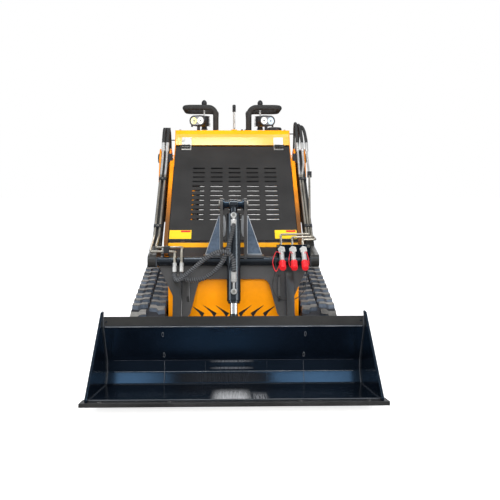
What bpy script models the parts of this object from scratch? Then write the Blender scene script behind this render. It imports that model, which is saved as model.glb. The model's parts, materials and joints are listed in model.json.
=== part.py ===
"""Compact track loader with a front bucket, built as separate pieces.

Metres, +Z up. The bucket faces -Y, X is across the machine and the ground is Z = 0.
In the sizes below "back" is the distance behind the bucket's cutting edge and "up" is the
height over the ground. The origin is on the ground in the middle of the machine.
"""
import math

import bmesh
import bpy
from mathutils import Matrix, Vector

# Clearances
TOUCH_GAP = 0.0003
RUNNING_GAP = 0.0005
SLIDE_GAP = 0.0010

# Whole machine
PLATFORM_REAR = 2.410
HALF_LENGTH = PLATFORM_REAR / 2

# Bucket, a bent plate between two side plates
EDGE_WIDTH = 1.160
EDGE_OVERHANG = 0.020
EDGE_DEPTH = 0.095
EDGE_START = 0.0022
EDGE_THICKNESS = 0.016
BUCKET_WIDTH = EDGE_WIDTH - 2 * EDGE_OVERHANG
BUCKET_SIDE = 0.010
BUCKET_PLATE = 0.006
FLOOR_START = (0.0435, 0.0590)
FLOOR_END = (0.4500, 0.0092)
HEEL_BEND = (0.4880, 0.0550)
BACK_BEND = (0.4900, 0.1050)
LIP_BEND = (0.3970, 0.2710)
LIP_TOP = (0.4050, 0.3120)
BUCKET_BEND_RADIUS = 0.012
SIDE_NOSE_BACK = 0.012
SIDE_NOSE_HEIGHT = 0.012
SIDE_TOP_FRONT = (0.3990, 0.3280)
SIDE_TOP_REAR = (0.4330, 0.3300)
EDGE_BOLT_RADIUS = 0.011
EDGE_BOLT_HEIGHT = 0.0045
EDGE_BOLT_BACK = 0.020
EDGE_BOLT_INNER = 0.245
EDGE_BOLT_OUTER = 0.504

# Attachment plate behind the bucket
ATTACH_HALF = 0.330
ATTACH_LOW = 0.012
ATTACH_HIGH = 0.172
ATTACH_THICKNESS = 0.010
HANGER_HALF = 0.300
HANGER_DEPTH = 0.024
HANGER_THICKNESS = 0.008
TILT_HINGE = (0.590, 0.140)
TILT_ROD_PIN = (0.600, 0.250)
LUG_RADIUS = 0.028
LUG_THICKNESS = 0.012
PIN_RADIUS = 0.011
PIN_HEAD = 0.016
PIN_HEAD_THICKNESS = 0.005
LATCH_PIVOT_X = 0.185
LATCH_PIVOT_UP = 0.118
LATCH_LENGTH = 0.090
LATCH_THICKNESS = 0.008
LATCH_WIDTH = 0.022
LATCH_GRIP = 0.060
LATCH_GRIP_RADIUS = 0.008

# Lift arms
ARM_PIVOT = (1.620, 1.010)
ARM_INNER = 0.358
ARM_OUTER = 0.398
ARM_BOSS = 0.052
BOSS_RISE = 0.0005
ARM_PIN_RADIUS = 0.018
ARM_TOP_REAR = (1.575, 1.040)
ARM_TOP_KNEE = (0.950, 0.562)
ARM_FRONT_TOP = (0.742, 0.536)
ARM_FRONT_LOW = (0.736, 0.484)
ARM_LOW_FRONT = (0.930, 0.462)
ARM_LOW_REAR = (1.668, 0.984)
ARM_CORNER = 0.030
LIFT_ROD_PIN = (1.360, 0.740)
CHEEK_THICKNESS = 0.008
CHEEK_RISE = 0.100
CHEEK_FRONT = 0.030
CHEEK_REAR = 0.050
OPEN_PIVOT_DRIFT = 0.0140
CROSS_TUBE = (0.765, 0.508)
CROSS_TUBE_RADIUS = 0.020
APRON_TOP = (0.772, 0.492)
APRON_FOOT = (0.632, 0.150)
APRON_THICKNESS = 0.010
APRON_HALF = 0.352
APRON_LEG_OUTER = 0.280
APRON_SHOULDER = 0.150
ARCH_TOP_HALF = 0.160
ARCH_FOOT_HALF = 0.232
ARCH_HEIGHT = 0.070
ARCH_CORNER = 0.036
LEG_INNER = 0.240
LEG_OUTER = 0.275
LEG_DEPTH = 0.046
LEG_LOW_RADIUS = 0.032
RIB_INNER = 0.204
RIB_THICKNESS = 0.010
RIB_DEPTH = 0.030

# Mast on the cross tube that holds the tilt cylinder
TILT_TOP_PIN = (0.764, 0.771)
MAST_INNER = 0.049
MAST_THICKNESS = 0.013
MAST_HEAD = 0.030
MAST_BASE_HALF = 0.140
MAST_BASE_BACK = 0.806
MAST_BASE_FRONT = 0.748
MAST_BASE_THICKNESS = 0.012
GUSSET_THICKNESS = 0.010
GUSSET_SETBACK = 0.012
GUSSET_FOOT = 0.134
GUSSET_TIP = 0.068
GUSSET_TOP = 0.713

# Cylinders
TILT_BARREL_RADIUS = 0.030
TILT_BARREL_START = 0.044
TILT_BARREL_END = 0.462
TILT_ROD_RADIUS = 0.018
TILT_EYE_RADIUS = 0.024
TILT_EYE_WIDTH = 0.038
TILT_ROD_INNER = 0.095
TILT_PORT_TOP = 0.062
TILT_PORT_LOW = 0.408
LIFT_BARREL_PIN = (1.740, 0.720)
LIFT_BARREL_RADIUS = 0.0195
LIFT_BARREL_START = 0.026
LIFT_BARREL_END = 0.318
LIFT_ROD_RADIUS = 0.010
LIFT_EYE_RADIUS = 0.022
LIFT_EYE_WIDTH = 0.020
LIFT_ROD_INNER = 0.045
EYE_BORE = 0.0115
PORT_RADIUS = 0.008
PORT_LENGTH = 0.020

# Chassis
CHASSIS_HALF = 0.308
CHASSIS_FRONT = 0.8065
CHASSIS_REAR = 2.030
CHASSIS_LOW = 0.120
CHASSIS_HIGH = 0.495
CHASSIS_WALL = 0.010
DECK_HALF = 0.345
DECK_FRONT = 1.030
DECK_LOW = 0.490
DECK_HIGH = 0.507
PANEL_THICKNESS = 0.006
FRONT_PANEL_LOW = 0.150
FRONT_PANEL_HIGH = 0.490
VENT_COUNT = 3
VENT_FIRST = 0.034
VENT_PITCH = 0.058
VENT_LOW = 0.236
VENT_HEIGHT = 0.062
VENT_FOOT = 0.030
VENT_LEAN = 0.056

# Body over the chassis
DECK_TOP = 1.171
HOOD_HALF = 0.322
HOOD_TOP = (1.591, 1.081)
HOOD_FOOT = (1.009, 0.586)
HOOD_THICKNESS = 0.004
SLOT_COLUMNS = 5
SLOT_ROWS = 12
SLOT_LENGTH = 0.064
SLOT_HEIGHT = 0.012
SLOT_COLUMN_PITCH = 0.0973
SLOT_ROW_PITCH = 0.0369
SLOT_FIRST_ROW = 0.201
SLOT_SHIFT = 0.010
HINGE_X = 0.265
HINGE_WIDTH = 0.055
HINGE_RADIUS = 0.006
COWL_FOOT = (1.597, 1.086)
COWL_FOLD = (1.621, 1.132)
COWL_EDGE = (1.634, DECK_TOP)
COWL_REAR = 2.030
COWL_REAR_LOW = 0.520
COWL_PLATE = 0.004
COVER_BACK = 1.012
COVER_THICKNESS = 0.006
SIDE_PANEL_INNER = HOOD_HALF + TOUCH_GAP
SIDE_PANEL_OUTER = 0.3450
PANEL_HIGH = 1.000
PANEL_STEP_BACK = 1.580
PANEL_STEP_UP = 1.030
PANEL_TOE = 0.010
PANEL_HEEL = 0.004
PANEL_SKIN = 0.004
PANEL_INSET = 0.002
PANEL_LAP = 0.060
TOWER_INNER_PLATE = 0.010
TOWER_OUTER_PLATE = 0.012
TOWER_SLOT_INNER = 0.3560
TOWER_SLOT_OUTER = 0.4000
TOWER_HEAD = 0.056
TOWER_FRONT = 1.500
TOWER_FRONT_LOW = 0.880
TOWER_REAR = 1.812
TOWER_OUTER_LOW = 0.640
TOWER_WEB = 0.012
TOWER_WEB_HIGH = 0.960
PORT_BLOCK_DEPTH = 0.030
PORT_BLOCK_HEIGHT = 0.040

# Inside
ENGINE_HALF = 0.180
ENGINE_FRONT = 1.330
ENGINE_REAR = 1.700
ENGINE_SUMP = 0.300
ENGINE_BLOCK = 0.250
ENGINE_HIGH = 0.800
ENGINE_HEAD_HALF = 0.110
FAN_RADIUS = 0.150
FAN_UP = 0.560
FAN_DEPTH = 0.050
TANK_HALF = 0.250
TANK_FRONT = 1.770
TANK_REAR = 2.000
TANK_HIGH = 0.950
TANK_EDGE = 0.020

# Operator's station, each height over the deck
HANDLE_INNER = 0.100
HANDLE_OUTER = 0.285
HANDLE_FRONT = 1.870
HANDLE_REAR = 2.150
HANDLE_FOOT_REAR = 1.990
HANDLE_HEIGHT = 0.152
HANDLE_UP = DECK_TOP + HANDLE_HEIGHT
HANDLE_DROP = 0.060
HANDLE_RADIUS = 0.0155
HANDLE_BEND = 0.045
FLANGE_RADIUS = 0.030
FLANGE_THICKNESS = 0.006
STICK_X = 0.171
STICK_BACK = 1.960
STICK_BALL = 0.015
STICK_RISE = 0.021
STICK_UP = DECK_TOP + STICK_RISE
STICK_RADIUS = 0.005
STICK_HEIGHT = 0.206
STICK_TOP = DECK_TOP + STICK_HEIGHT
KNOB_RADIUS = 0.017
KNOB_HEIGHT = 0.042
SOCKET_RADIUS = 0.030
SOCKET_HEIGHT = 0.020
LEVER_X = 0.011
LEVER_BACK = 1.870
LEVER_RADIUS = 0.003
LEVER_GRIP_RADIUS = 0.009
LEVER_GRIP_RISE = 0.133
LEVER_GRIP_LOW = DECK_TOP + LEVER_GRIP_RISE
LEVER_HEIGHT = 0.175
LEVER_TOP = DECK_TOP + LEVER_HEIGHT
LAMP_X = 0.200
LAMP_BACK = 1.800
LAMP_RISE = 0.067
LAMP_UP = DECK_TOP + LAMP_RISE
LAMP_WIDTH = 0.098
LAMP_HEIGHT = 0.066
LAMP_DEPTH = 0.036
LAMP_FIN_COUNT = 5
LAMP_FIN_DEPTH = 0.046
LAMP_FIN_SINK = 0.003
LAMP_FOOT_THICKNESS = 0.005
LAMP_YAW_DEG = 28.0
LAMP_POST = 0.010
LAMP_FOOT = 0.040
PLATFORM_HALF = 0.220
PLATFORM_HINGE = (2.062, 0.210)
PLATFORM_THICKNESS = 0.010
PLATFORM_RIM = 0.030
PLATFORM_RIM_THICKNESS = 0.008
PLATFORM_TUBE = 0.012
PLATFORM_LUG_THICKNESS = 0.012

# Track units
TRACK_INNER = 0.315
TRACK_OUTER = 0.480
BELT_THICKNESS = 0.018
LUG_HEIGHT = 0.022
LUG_COUNT = 37
LUG_BASE_SHARE = 0.52
LUG_TIP_SHARE = 0.36
LUG_SINK = 0.0030
LUG_EDGE = 0.0020
IDLER_CENTRE = (0.800, 0.152)
IDLER_RADIUS = 0.1115
REAR_CENTRE_BACK = 1.600
REAR_RADIUS = 0.0915
ROLLER_BACKS = (1.070, 1.330)
ROLLER_RADIUS = 0.050
SPROCKET_CENTRE = (1.790, 0.335)
SPROCKET_RADIUS = 0.1045
SPROCKET_TOOTH = 0.012
SPROCKET_TEETH = 12
BEAM_SETBACK = 0.047
BEAM_INNER = TRACK_INNER + BEAM_SETBACK
BEAM_OUTER = TRACK_OUTER - BEAM_SETBACK
BEAM_END = 0.048
BEAM_HUB = 0.030
BEAM_TOP = (1.400, 0.265)
WHEEL_OVERHANG = 0.005
AXLE_RADIUS = 0.016
MOUNT_BACKS = (1.150, 1.470)
MOUNT_LENGTH = 0.080
MOUNT_LOW = 0.170
MOUNT_HIGH = 0.235
MOTOR_RADIUS = 0.058
MOTOR_SETBACK = 0.010
MOTOR_OUTER = BEAM_INNER - MOTOR_SETBACK
SHAFT_RADIUS = 0.020

# Pipes, couplers and hoses
PIPE_RADIUS = 0.0055
PIPE_BEND = 0.018
PIPE_RISE = 0.0065
HOSE_RADIUS = 0.0105
HOSE_CLIP = 0.020
CRIMP_RADIUS = 0.0095
CRIMP_SLIM = 0.0060
CRIMP_OVERLAP = 0.003
CLAMP_BACKS = (1.060, 1.370)
CLAMP_LENGTH = 0.020
CLAMP_HEIGHT = 0.017
COUPLER_XS = (0.2225, 0.2754, 0.3246)
COUPLER_START = (0.757, 0.562)
COUPLER_DIRECTION = (-0.80, -0.60)
COUPLER_LENGTH = 0.085
COUPLER_RADIUS = 0.011
COUPLER_HEAD = 0.018
COUPLER_HEAD_THICKNESS = 0.014
CAP_RADIUS = 0.0165
CAP_LENGTH = 0.045
LANYARD_RADIUS = 0.0025
LANYARD_SAG = 0.030
COUPLER_PLATE_INNER = 0.200
COUPLER_PLATE_HIGH = 0.585
COUPLER_PLATE_THICKNESS = 0.006
COUPLER_FIT = 0.0006
CRIMP_LOW = (1.545, 1.052)
CRIMP_HIGH = (1.580, 1.096)
CRIMP_GAP = 0.0006
PIPE_HIGH_BACK = 1.500
PIPE_LOW_BACK = 1.000
LEFT_PIPE_XS = (0.3893, 0.3667)
LEFT_FITTING_XS = (0.270, 0.238)
LEFT_FITTING = (0.702, 0.505)
LEFT_CRIMP_END = (0.694, 0.466)
LEFT_RUN_BACKS = (0.778, 0.822)
LEFT_RUN_UPS = (0.5520, 0.5680)
FITTING_LEAD = 0.010
RIGHT_PIPE_XS = (0.390, 0.3775, 0.364)
RIGHT_TURN_BACK = 0.835
RIGHT_TURN_RISE = 0.030
RIGHT_TURN_FALL = 0.012
RIGHT_TURN_LEAD = 0.030
RIGHT_END_LEAD = 0.022
TILT_HOSE_LEAD = 0.014
TILT_HOSE_LOW = ((0.256, 0.668, 0.432), (0.205, 0.640, 0.468), (0.135, 0.622, 0.528),
                 (0.070, 0.606, 0.560), (0.022, 0.590, 0.545), (0.001, 0.580, 0.500))
TILT_HOSE_LOW_END = (0.045, 0.004)
TILT_HOSE_HIGH = ((0.212, 0.668, 0.434), (0.140, 0.652, 0.440), (0.080, 0.640, 0.482),
                  (0.040, 0.634, 0.540), (0.016, 0.640, 0.610), (0.004, 0.660, 0.670))
TILT_HOSE_HIGH_END = 0.010
LOOP_LEAD = 0.030
LOOP_WAY = ((1.640, 1.160), (1.690, 1.175), (1.740, 1.150), (1.772, 1.095))
LOOP_SHARES = (0.5, 1.0, 0.9, 0.4)
LOOP_FALL = 1.030
LOOP_RADIUS = 0.00945
LOOP_SLIM = 0.0060
LOOP_SLIM_RISE = 0.026
LOOP_SLIM_LEAN = 0.030
CLIP_LENGTH = 0.014
HOSE_SPACING = 0.024
LANYARD_SPACING = 0.010

PARTS_NAME = "compact_track_loader"
FINISHES = {
    "orange": ((1.0, 0.36, 0.01), 0.35, 0.0),
    "charcoal": ((0.06, 0.06, 0.065), 0.55, 0.0),
    "gloss_black": ((0.012, 0.013, 0.016), 0.15, 0.0),
    "steel": ((0.62, 0.62, 0.62), 0.30, 1.0),
    "chrome": ((0.85, 0.85, 0.86), 0.08, 1.0),
    "rubber": ((0.035, 0.035, 0.037), 0.80, 0.0),
    "red": ((0.70, 0.02, 0.03), 0.45, 0.0),
    "grip": ((0.020, 0.020, 0.022), 0.70, 0.0),
}


def at(x, back, up):
    """World point at a distance across, behind the cutting edge and over the ground."""
    return Vector((x, back - HALF_LENGTH, up))


def collection(name):
    """New collection of the scene."""
    made = bpy.data.collections.new(name)
    bpy.context.scene.collection.children.link(made)
    return made


def material(name):
    """Principled material of a named finish."""
    if name in bpy.data.materials:
        return bpy.data.materials[name]
    colour, roughness, metallic = FINISHES[name]
    made = bpy.data.materials.new(name)
    made.use_nodes = True
    shader = made.node_tree.nodes["Principled BSDF"]
    shader.inputs["Base Color"].default_value = (*colour, 1.0)
    shader.inputs["Roughness"].default_value = roughness
    shader.inputs["Metallic"].default_value = metallic
    return made


def add_object(name, data):
    """Object of the parts collection."""
    made = bpy.data.objects.new(name, data)
    PARTS.objects.link(made)
    return made


def from_bmesh(name, bm):
    """Object from a bmesh, which is freed."""
    mesh = bpy.data.meshes.new(name)
    bmesh.ops.recalc_face_normals(bm, faces=bm.faces)
    bm.to_mesh(mesh)
    bm.free()
    return add_object(name, mesh)


def to_mesh(obj):
    """Turn an object with a curve or modifiers into a plain welded mesh in world space."""
    bpy.context.view_layer.update()
    evaluated = obj.evaluated_get(bpy.context.evaluated_depsgraph_get())
    mesh = bpy.data.meshes.new_from_object(evaluated)
    mesh.transform(obj.matrix_world)
    name = obj.name
    bpy.data.objects.remove(obj)
    bm = bmesh.new()
    bm.from_mesh(mesh)
    bmesh.ops.remove_doubles(bm, verts=bm.verts, dist=1e-6)
    bmesh.ops.dissolve_degenerate(bm, edges=bm.edges, dist=1e-6)
    bpy.data.meshes.remove(mesh)
    return from_bmesh(name, bm)


def box(name, across, back, up):
    """Box between pairs of limits."""
    bm = bmesh.new()
    bmesh.ops.create_cube(bm, size=1.0)
    low = at(min(across), min(back), min(up))
    high = at(max(across), max(back), max(up))
    size = high - low
    bmesh.ops.scale(bm, vec=size, verts=bm.verts)
    bmesh.ops.translate(bm, vec=(low + high) / 2, verts=bm.verts)
    return from_bmesh(name, bm)


def rod(name, start, end, radius, sides=16, end_radius=None):
    """Cylinder or cone between two world points."""
    bm = bmesh.new()
    way = end - start
    last = radius if end_radius is None else end_radius
    bmesh.ops.create_cone(bm, cap_ends=True, segments=sides, radius1=radius, radius2=last,
                          depth=way.length)
    turn = way.to_track_quat("Z", "Y").to_matrix().to_4x4()
    bmesh.ops.transform(bm, matrix=Matrix.Translation((start + end) / 2) @ turn, verts=bm.verts)
    return from_bmesh(name, bm)


def pin(name, place, low, high, radius, sides=16):
    """Cylinder across the machine at a (back, up) place."""
    return rod(name, at(low, *place), at(high, *place), radius, sides)


def arc(centre, radius, start_deg, end_deg, steps):
    """Points of an arc round a 2D centre."""
    angles = [start_deg + (end_deg - start_deg) * i / steps for i in range(steps + 1)]
    return [(centre[0] + radius * math.cos(math.radians(a)),
             centre[1] + radius * math.sin(math.radians(a))) for a in angles]


def circle(centre, radius, sides=16):
    """Closed circle of 2D points."""
    return arc(centre, radius, 0, 360, sides)[:-1]


def hull(points):
    """Convex outline round 2D points, anticlockwise."""
    ordered = sorted(set(points))

    def half(run):
        kept = []
        for p in run:
            while len(kept) > 1 and turn_of(kept[-2], kept[-1], p) <= 1e-12:
                kept.pop()
            kept.append(p)
        return kept[:-1]

    return half(ordered) + half(reversed(ordered))


def turn_of(a, b, c):
    """Twice the signed area of three 2D points."""
    return (b[0] - a[0]) * (c[1] - a[1]) - (b[1] - a[1]) * (c[0] - a[0])


def rounded(points, radius, steps=3, closed=True):
    """Replace each corner of a line of 2D or 3D points by an arc of the radius."""
    made = []
    count = len(points)
    for i, point in enumerate(points):
        if not closed and i in (0, count - 1):
            made.append(Vector(point))
            continue
        here = Vector(point)
        before = Vector(points[i - 1]) - here
        after = Vector(points[(i + 1) % count]) - here
        angle = before.angle(after)
        reach = min(radius / math.tan(angle / 2), 0.45 * before.length, 0.45 * after.length)
        if angle > math.radians(176):
            made.append(here)
            continue
        first = here + before.normalized() * reach
        last = here + after.normalized() * reach
        real_radius = reach * math.tan(angle / 2)
        middle = (before.normalized() + after.normalized()).normalized()
        centre = here + middle * (real_radius / math.sin(angle / 2))
        a, b = first - centre, last - centre
        sweep = a.angle(b)
        for k in range(steps + 1):
            t = k / steps
            made.append(centre + (a * math.sin((1 - t) * sweep) + b * math.sin(t * sweep)) / math.sin(sweep))
    return [tuple(p) for p in made]


def outline_solid(name, loops, matrix, low, high):
    """Flat outline with holes, thick from low to high along the matrix's third axis."""
    curve = bpy.data.curves.new(name, "CURVE")
    curve.dimensions = "2D"
    curve.fill_mode = "BOTH"
    curve.extrude = abs(high - low) / 2
    for loop in loops:
        spline = curve.splines.new("POLY")
        spline.points.add(len(loop) - 1)
        for point, (u, v) in zip(spline.points, loop):
            point.co = (u, v, 0.0, 1.0)
        spline.use_cyclic_u = True
    made = add_object(name, curve)
    made.matrix_world = matrix @ Matrix.Translation((0.0, 0.0, (low + high) / 2))
    return to_mesh(made)


SIDE_VIEW = Matrix(((0, 0, 1, 0), (1, 0, 0, -HALF_LENGTH), (0, 1, 0, 0), (0, 0, 0, 1)))


def side_plate(name, outline, low, high, holes=()):
    """Plate whose outline is drawn in the side view, as (back, up), between two X limits."""
    return outline_solid(name, [outline, *holes], SIDE_VIEW, low, high)


def front_plate(name, outline, back, thickness, holes=()):
    """Upright plate drawn from the front, as (x, up), whose front face is at a distance back."""
    matrix = Matrix(((1, 0, 0, 0), (0, 0, 1, -HALF_LENGTH), (0, 1, 0, 0), (0, 0, 0, 1)))
    return outline_solid(name, [outline, *holes], matrix, back, back + thickness)


def slope_matrix(top, foot):
    """Frame of a sloping plate: X across, the second axis down the slope, the third axis into it."""
    down = Vector((0.0, foot[0] - top[0], foot[1] - top[1])).normalized()
    across = Vector((1.0, 0.0, 0.0))
    inward = across.cross(down)
    origin = at(0.0, *top)
    return Matrix((
        (across.x, down.x, inward.x, origin.x),
        (across.y, down.y, inward.y, origin.y),
        (across.z, down.z, inward.z, origin.z),
        (0.0, 0.0, 0.0, 1.0),
    ))


def pipe(name, points, radius, resolution=1):
    """Round tube with capped ends along world points."""
    curve = bpy.data.curves.new(name, "CURVE")
    curve.dimensions = "3D"
    curve.bevel_depth = radius
    curve.bevel_resolution = resolution
    curve.use_fill_caps = True
    spline = curve.splines.new("POLY")
    spline.points.add(len(points) - 1)
    for point, place in zip(spline.points, points):
        point.co = (*place, 1.0)
    return to_mesh(add_object(name, curve))


def smooth_path(route, spacing):
    """Points of a smooth curve through a route's own points."""
    ends = [route[0] * 2 - route[1]] + route + [route[-1] * 2 - route[-2]]
    made = [route[0]]
    for a, b, c, d in zip(ends, ends[1:], ends[2:], ends[3:]):
        count = max(1, round((c - b).length / spacing))
        for k in range(1, count + 1):
            t = k / count
            made.append(0.5 * ((2 * b) + (c - a) * t + (2 * a - 5 * b + 4 * c - d) * t * t
                               + (3 * b - a - 3 * c + d) * t ** 3))
    return made


def boolean(target, tool, operation):
    """Apply one exact Boolean and remove the tool."""
    modifier = target.modifiers.new("Boolean", "BOOLEAN")
    modifier.operation = operation
    modifier.solver = "EXACT"
    modifier.object = tool
    made = to_mesh(target)
    bpy.data.objects.remove(tool)
    return made


def unite(name, pieces):
    """Weld pieces into one solid."""
    made = pieces[0]
    for piece in pieces[1:]:
        made = boolean(made, piece, "UNION")
    made.name = name
    made.data.name = name
    return made


def cut(target, tools):
    """Cut tools out of a piece."""
    name = target.name
    for tool in tools:
        target = boolean(target, tool, "DIFFERENCE")
    target.name = name
    return target


def finish(obj, look, smooth_deg=None):
    """Give a piece its material, and shade its round faces smooth."""
    obj.data.materials.clear()
    obj.data.materials.append(material(look))
    if smooth_deg:
        obj.data.shade_smooth()
        obj.data.set_sharp_from_angle(angle=math.radians(smooth_deg))
    return obj


def joint_empty(name, place):
    """Empty on a joint's axis, which the moving pieces hang from."""
    made = bpy.data.objects.new(name, None)
    made.location = place
    PARTS.objects.link(made)
    return made


def hang(empty, *pieces):
    """Parent pieces to a joint's empty, where they stand."""
    bpy.context.view_layer.update()
    for piece in pieces:
        piece.parent = empty
        piece.matrix_parent_inverse = empty.matrix_world.inverted()


def span(side, low, high):
    """X limits on one side of the machine, lowest first."""
    return tuple(sorted((side * low, side * high)))


def along(place, way, distance, off=0.0):
    """Point at a distance along a 2D way from a place, and off to its left."""
    return (place[0] + way[0] * distance - way[1] * off, place[1] + way[1] * distance + way[0] * off)


def way_between(start, end):
    """Unit way and distance from one 2D place to another."""
    length = math.dist(start, end)
    return ((end[0] - start[0]) / length, (end[1] - start[1]) / length), length


def bent_strip(points, thickness):
    """Outline of a plate bent along 2D points; the thickness lies on the right of the way."""
    offset = []
    for i, p in enumerate(points):
        ways = []
        if i > 0:
            ways.append(way_between(points[i - 1], p)[0])
        if i < len(points) - 1:
            ways.append(way_between(p, points[i + 1])[0])
        normal = Vector((sum(w[1] for w in ways), -sum(w[0] for w in ways))).normalized()
        stretch = 1.0 / max(0.5, normal.dot(Vector((ways[0][1], -ways[0][0]))))
        offset.append((p[0] + normal.x * thickness * stretch, p[1] + normal.y * thickness * stretch))
    return list(points) + offset[::-1]


# Bucket
BUCKET_LINE = rounded([FLOOR_START, FLOOR_END, HEEL_BEND, BACK_BEND, LIP_BEND, LIP_TOP],
                      BUCKET_BEND_RADIUS, 2, closed=False)
FLOOR_WAY = way_between(FLOOR_START, FLOOR_END)[0]
WALL_WAY = way_between(BACK_BEND, LIP_BEND)[0]


def wall_point(up_wall, off):
    """Place on or behind the bucket's back wall."""
    return along(BACK_BEND, WALL_WAY, up_wall, -off)


def make_bucket():
    """Bent shell, two side plates, the cutting edge and its bolts."""
    inner_half = BUCKET_WIDTH / 2 - BUCKET_SIDE - TOUCH_GAP
    outline = bent_strip(BUCKET_LINE, BUCKET_PLATE)
    shell = side_plate("bucket_shell", outline, -inner_half, inner_half)
    reach = BUCKET_PLATE + HANGER_DEPTH
    weld = BUCKET_PLATE / 2
    hangers = []
    for low in (ATTACH_HIGH + TOUCH_GAP, ATTACH_LOW - TOUCH_GAP - HANGER_THICKNESS):
        high = low + HANGER_THICKNESS
        corners = [wall_point(low, weld), wall_point(low, reach), wall_point(high, reach),
                   wall_point(high, weld)]
        hangers.append(side_plate("hanger", corners, -HANGER_HALF, HANGER_HALF))
    shell = unite("bucket_shell", [shell, *hangers])
    made = [finish(shell, "gloss_black")]
    outer = bent_strip(BUCKET_LINE, BUCKET_PLATE)[len(BUCKET_LINE):][::-1]
    nose = along(outer[0], FLOOR_WAY, SIDE_NOSE_BACK - FLOOR_START[0])
    nose_top = (nose[0], nose[1] + SIDE_NOSE_HEIGHT)
    wall_top = along(outer[-2], WALL_WAY, 0.0)
    side_outline = [nose, *outer[:-2], wall_top, SIDE_TOP_REAR, SIDE_TOP_FRONT, nose_top]
    for word, side in SIDES:
        limits = span(side, BUCKET_WIDTH / 2 - BUCKET_SIDE, BUCKET_WIDTH / 2)
        made.append(finish(side_plate("bucket_side_" + word, side_outline, *limits), "gloss_black"))
    down = BUCKET_PLATE + TOUCH_GAP
    rear = along(FLOOR_START, FLOOR_WAY, EDGE_DEPTH - FLOOR_START[0], -down)
    front = along(FLOOR_START, FLOOR_WAY, EDGE_START - FLOOR_START[0], -down)
    front_low = along(FLOOR_START, FLOOR_WAY, EDGE_START - FLOOR_START[0], -down - EDGE_THICKNESS)
    rear_low = along(FLOOR_START, FLOOR_WAY, EDGE_DEPTH - FLOOR_START[0], -down - EDGE_THICKNESS)
    edge = side_plate("cutting_edge", [front, rear, rear_low, front_low],
                      -EDGE_WIDTH / 2, EDGE_WIDTH / 2)
    bolts = []
    for x in (-EDGE_BOLT_OUTER, -EDGE_BOLT_INNER, EDGE_BOLT_INNER, EDGE_BOLT_OUTER):
        start = along(FLOOR_START, FLOOR_WAY, EDGE_BOLT_BACK - FLOOR_START[0], -down - EDGE_BOLT_HEIGHT)
        end = along(start, FLOOR_WAY, 0.0, 2 * EDGE_BOLT_HEIGHT)
        bolts.append(rod("bolt", at(x, *start), at(x, *end), EDGE_BOLT_RADIUS, 6, EDGE_BOLT_RADIUS * 0.86))
    made.append(finish(unite("cutting_edge", [edge, *bolts]), "gloss_black"))
    return made


def make_attachment():
    """Plate behind the bucket with hinge lugs and two latch levers."""
    near = BUCKET_PLATE + TOUCH_GAP
    far = near + ATTACH_THICKNESS
    plate_outline = [wall_point(ATTACH_LOW, near), wall_point(ATTACH_LOW, far),
                     wall_point(ATTACH_HIGH, far), wall_point(ATTACH_HIGH, near)]
    pieces = [side_plate("attach_plate", plate_outline, -ATTACH_HALF, ATTACH_HALF)]
    weld = far - ATTACH_THICKNESS / 2
    low_lug = hull([wall_point(0.035, weld), wall_point(0.100, weld),
                    *circle(TILT_HINGE, LUG_RADIUS)])
    high_lug = hull([wall_point(0.075, weld), wall_point(0.150, weld),
                     *circle(TILT_ROD_PIN, LUG_RADIUS)])
    rod_bore = circle(TILT_ROD_PIN, PIN_RADIUS)
    for _, side in SIDES:
        first, last = LEG_INNER - SLIDE_GAP - LUG_THICKNESS, LEG_OUTER + SLIDE_GAP
        for low in (first, last):
            pieces.append(side_plate("lug", low_lug, *span(side, low, low + LUG_THICKNESS)))
        limits = span(side, first - PIN_HEAD_THICKNESS, last + LUG_THICKNESS + PIN_HEAD_THICKNESS)
        pieces.append(pin("pin", TILT_HINGE, *limits, PIN_RADIUS))
        inner = TILT_EYE_WIDTH / 2 + SLIDE_GAP
        pieces.append(side_plate("lug", high_lug, *span(side, inner, inner + LUG_THICKNESS), [rod_bore]))
    plate = finish(unite("attach_plate", pieces), "gloss_black")
    levers = []
    for word, side in SIDES:
        base = wall_point(LATCH_PIVOT_UP, far + TOUCH_GAP)
        normal = way_between(wall_point(0.0, 0.0), wall_point(0.0, 1.0))[0]
        matrix = slope_matrix(wall_point(LATCH_PIVOT_UP, far), wall_point(LATCH_PIVOT_UP - 1.0, far))
        pivot_x = side * LATCH_PIVOT_X
        end_x = side * (LATCH_PIVOT_X - LATCH_LENGTH)
        arm = hull([*circle((pivot_x, 0.0), LATCH_WIDTH / 2, 16), *circle((end_x, 0.0), LATCH_WIDTH / 2, 16)])
        inward = matrix.col[2].xyz.dot(Vector((0.0, *normal)))
        low, high = TOUCH_GAP * inward, (TOUCH_GAP + LATCH_THICKNESS) * inward
        bar = outline_solid("bar", [arm], matrix, min(low, high), max(low, high))
        start = at(end_x, *along(base, normal, LATCH_THICKNESS / 2))
        end = at(end_x, *along(base, normal, LATCH_THICKNESS + LATCH_GRIP))
        grip = rod("grip", start, end, LATCH_GRIP_RADIUS, 12)
        lever = finish(unite("latch_lever_" + word, [bar, grip]), "steel")
        empty = joint_empty("latch_pivot_" + word, at(pivot_x, *base))
        hang(empty, lever)
        levers.append(lever)
    return [plate, *levers]


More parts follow.
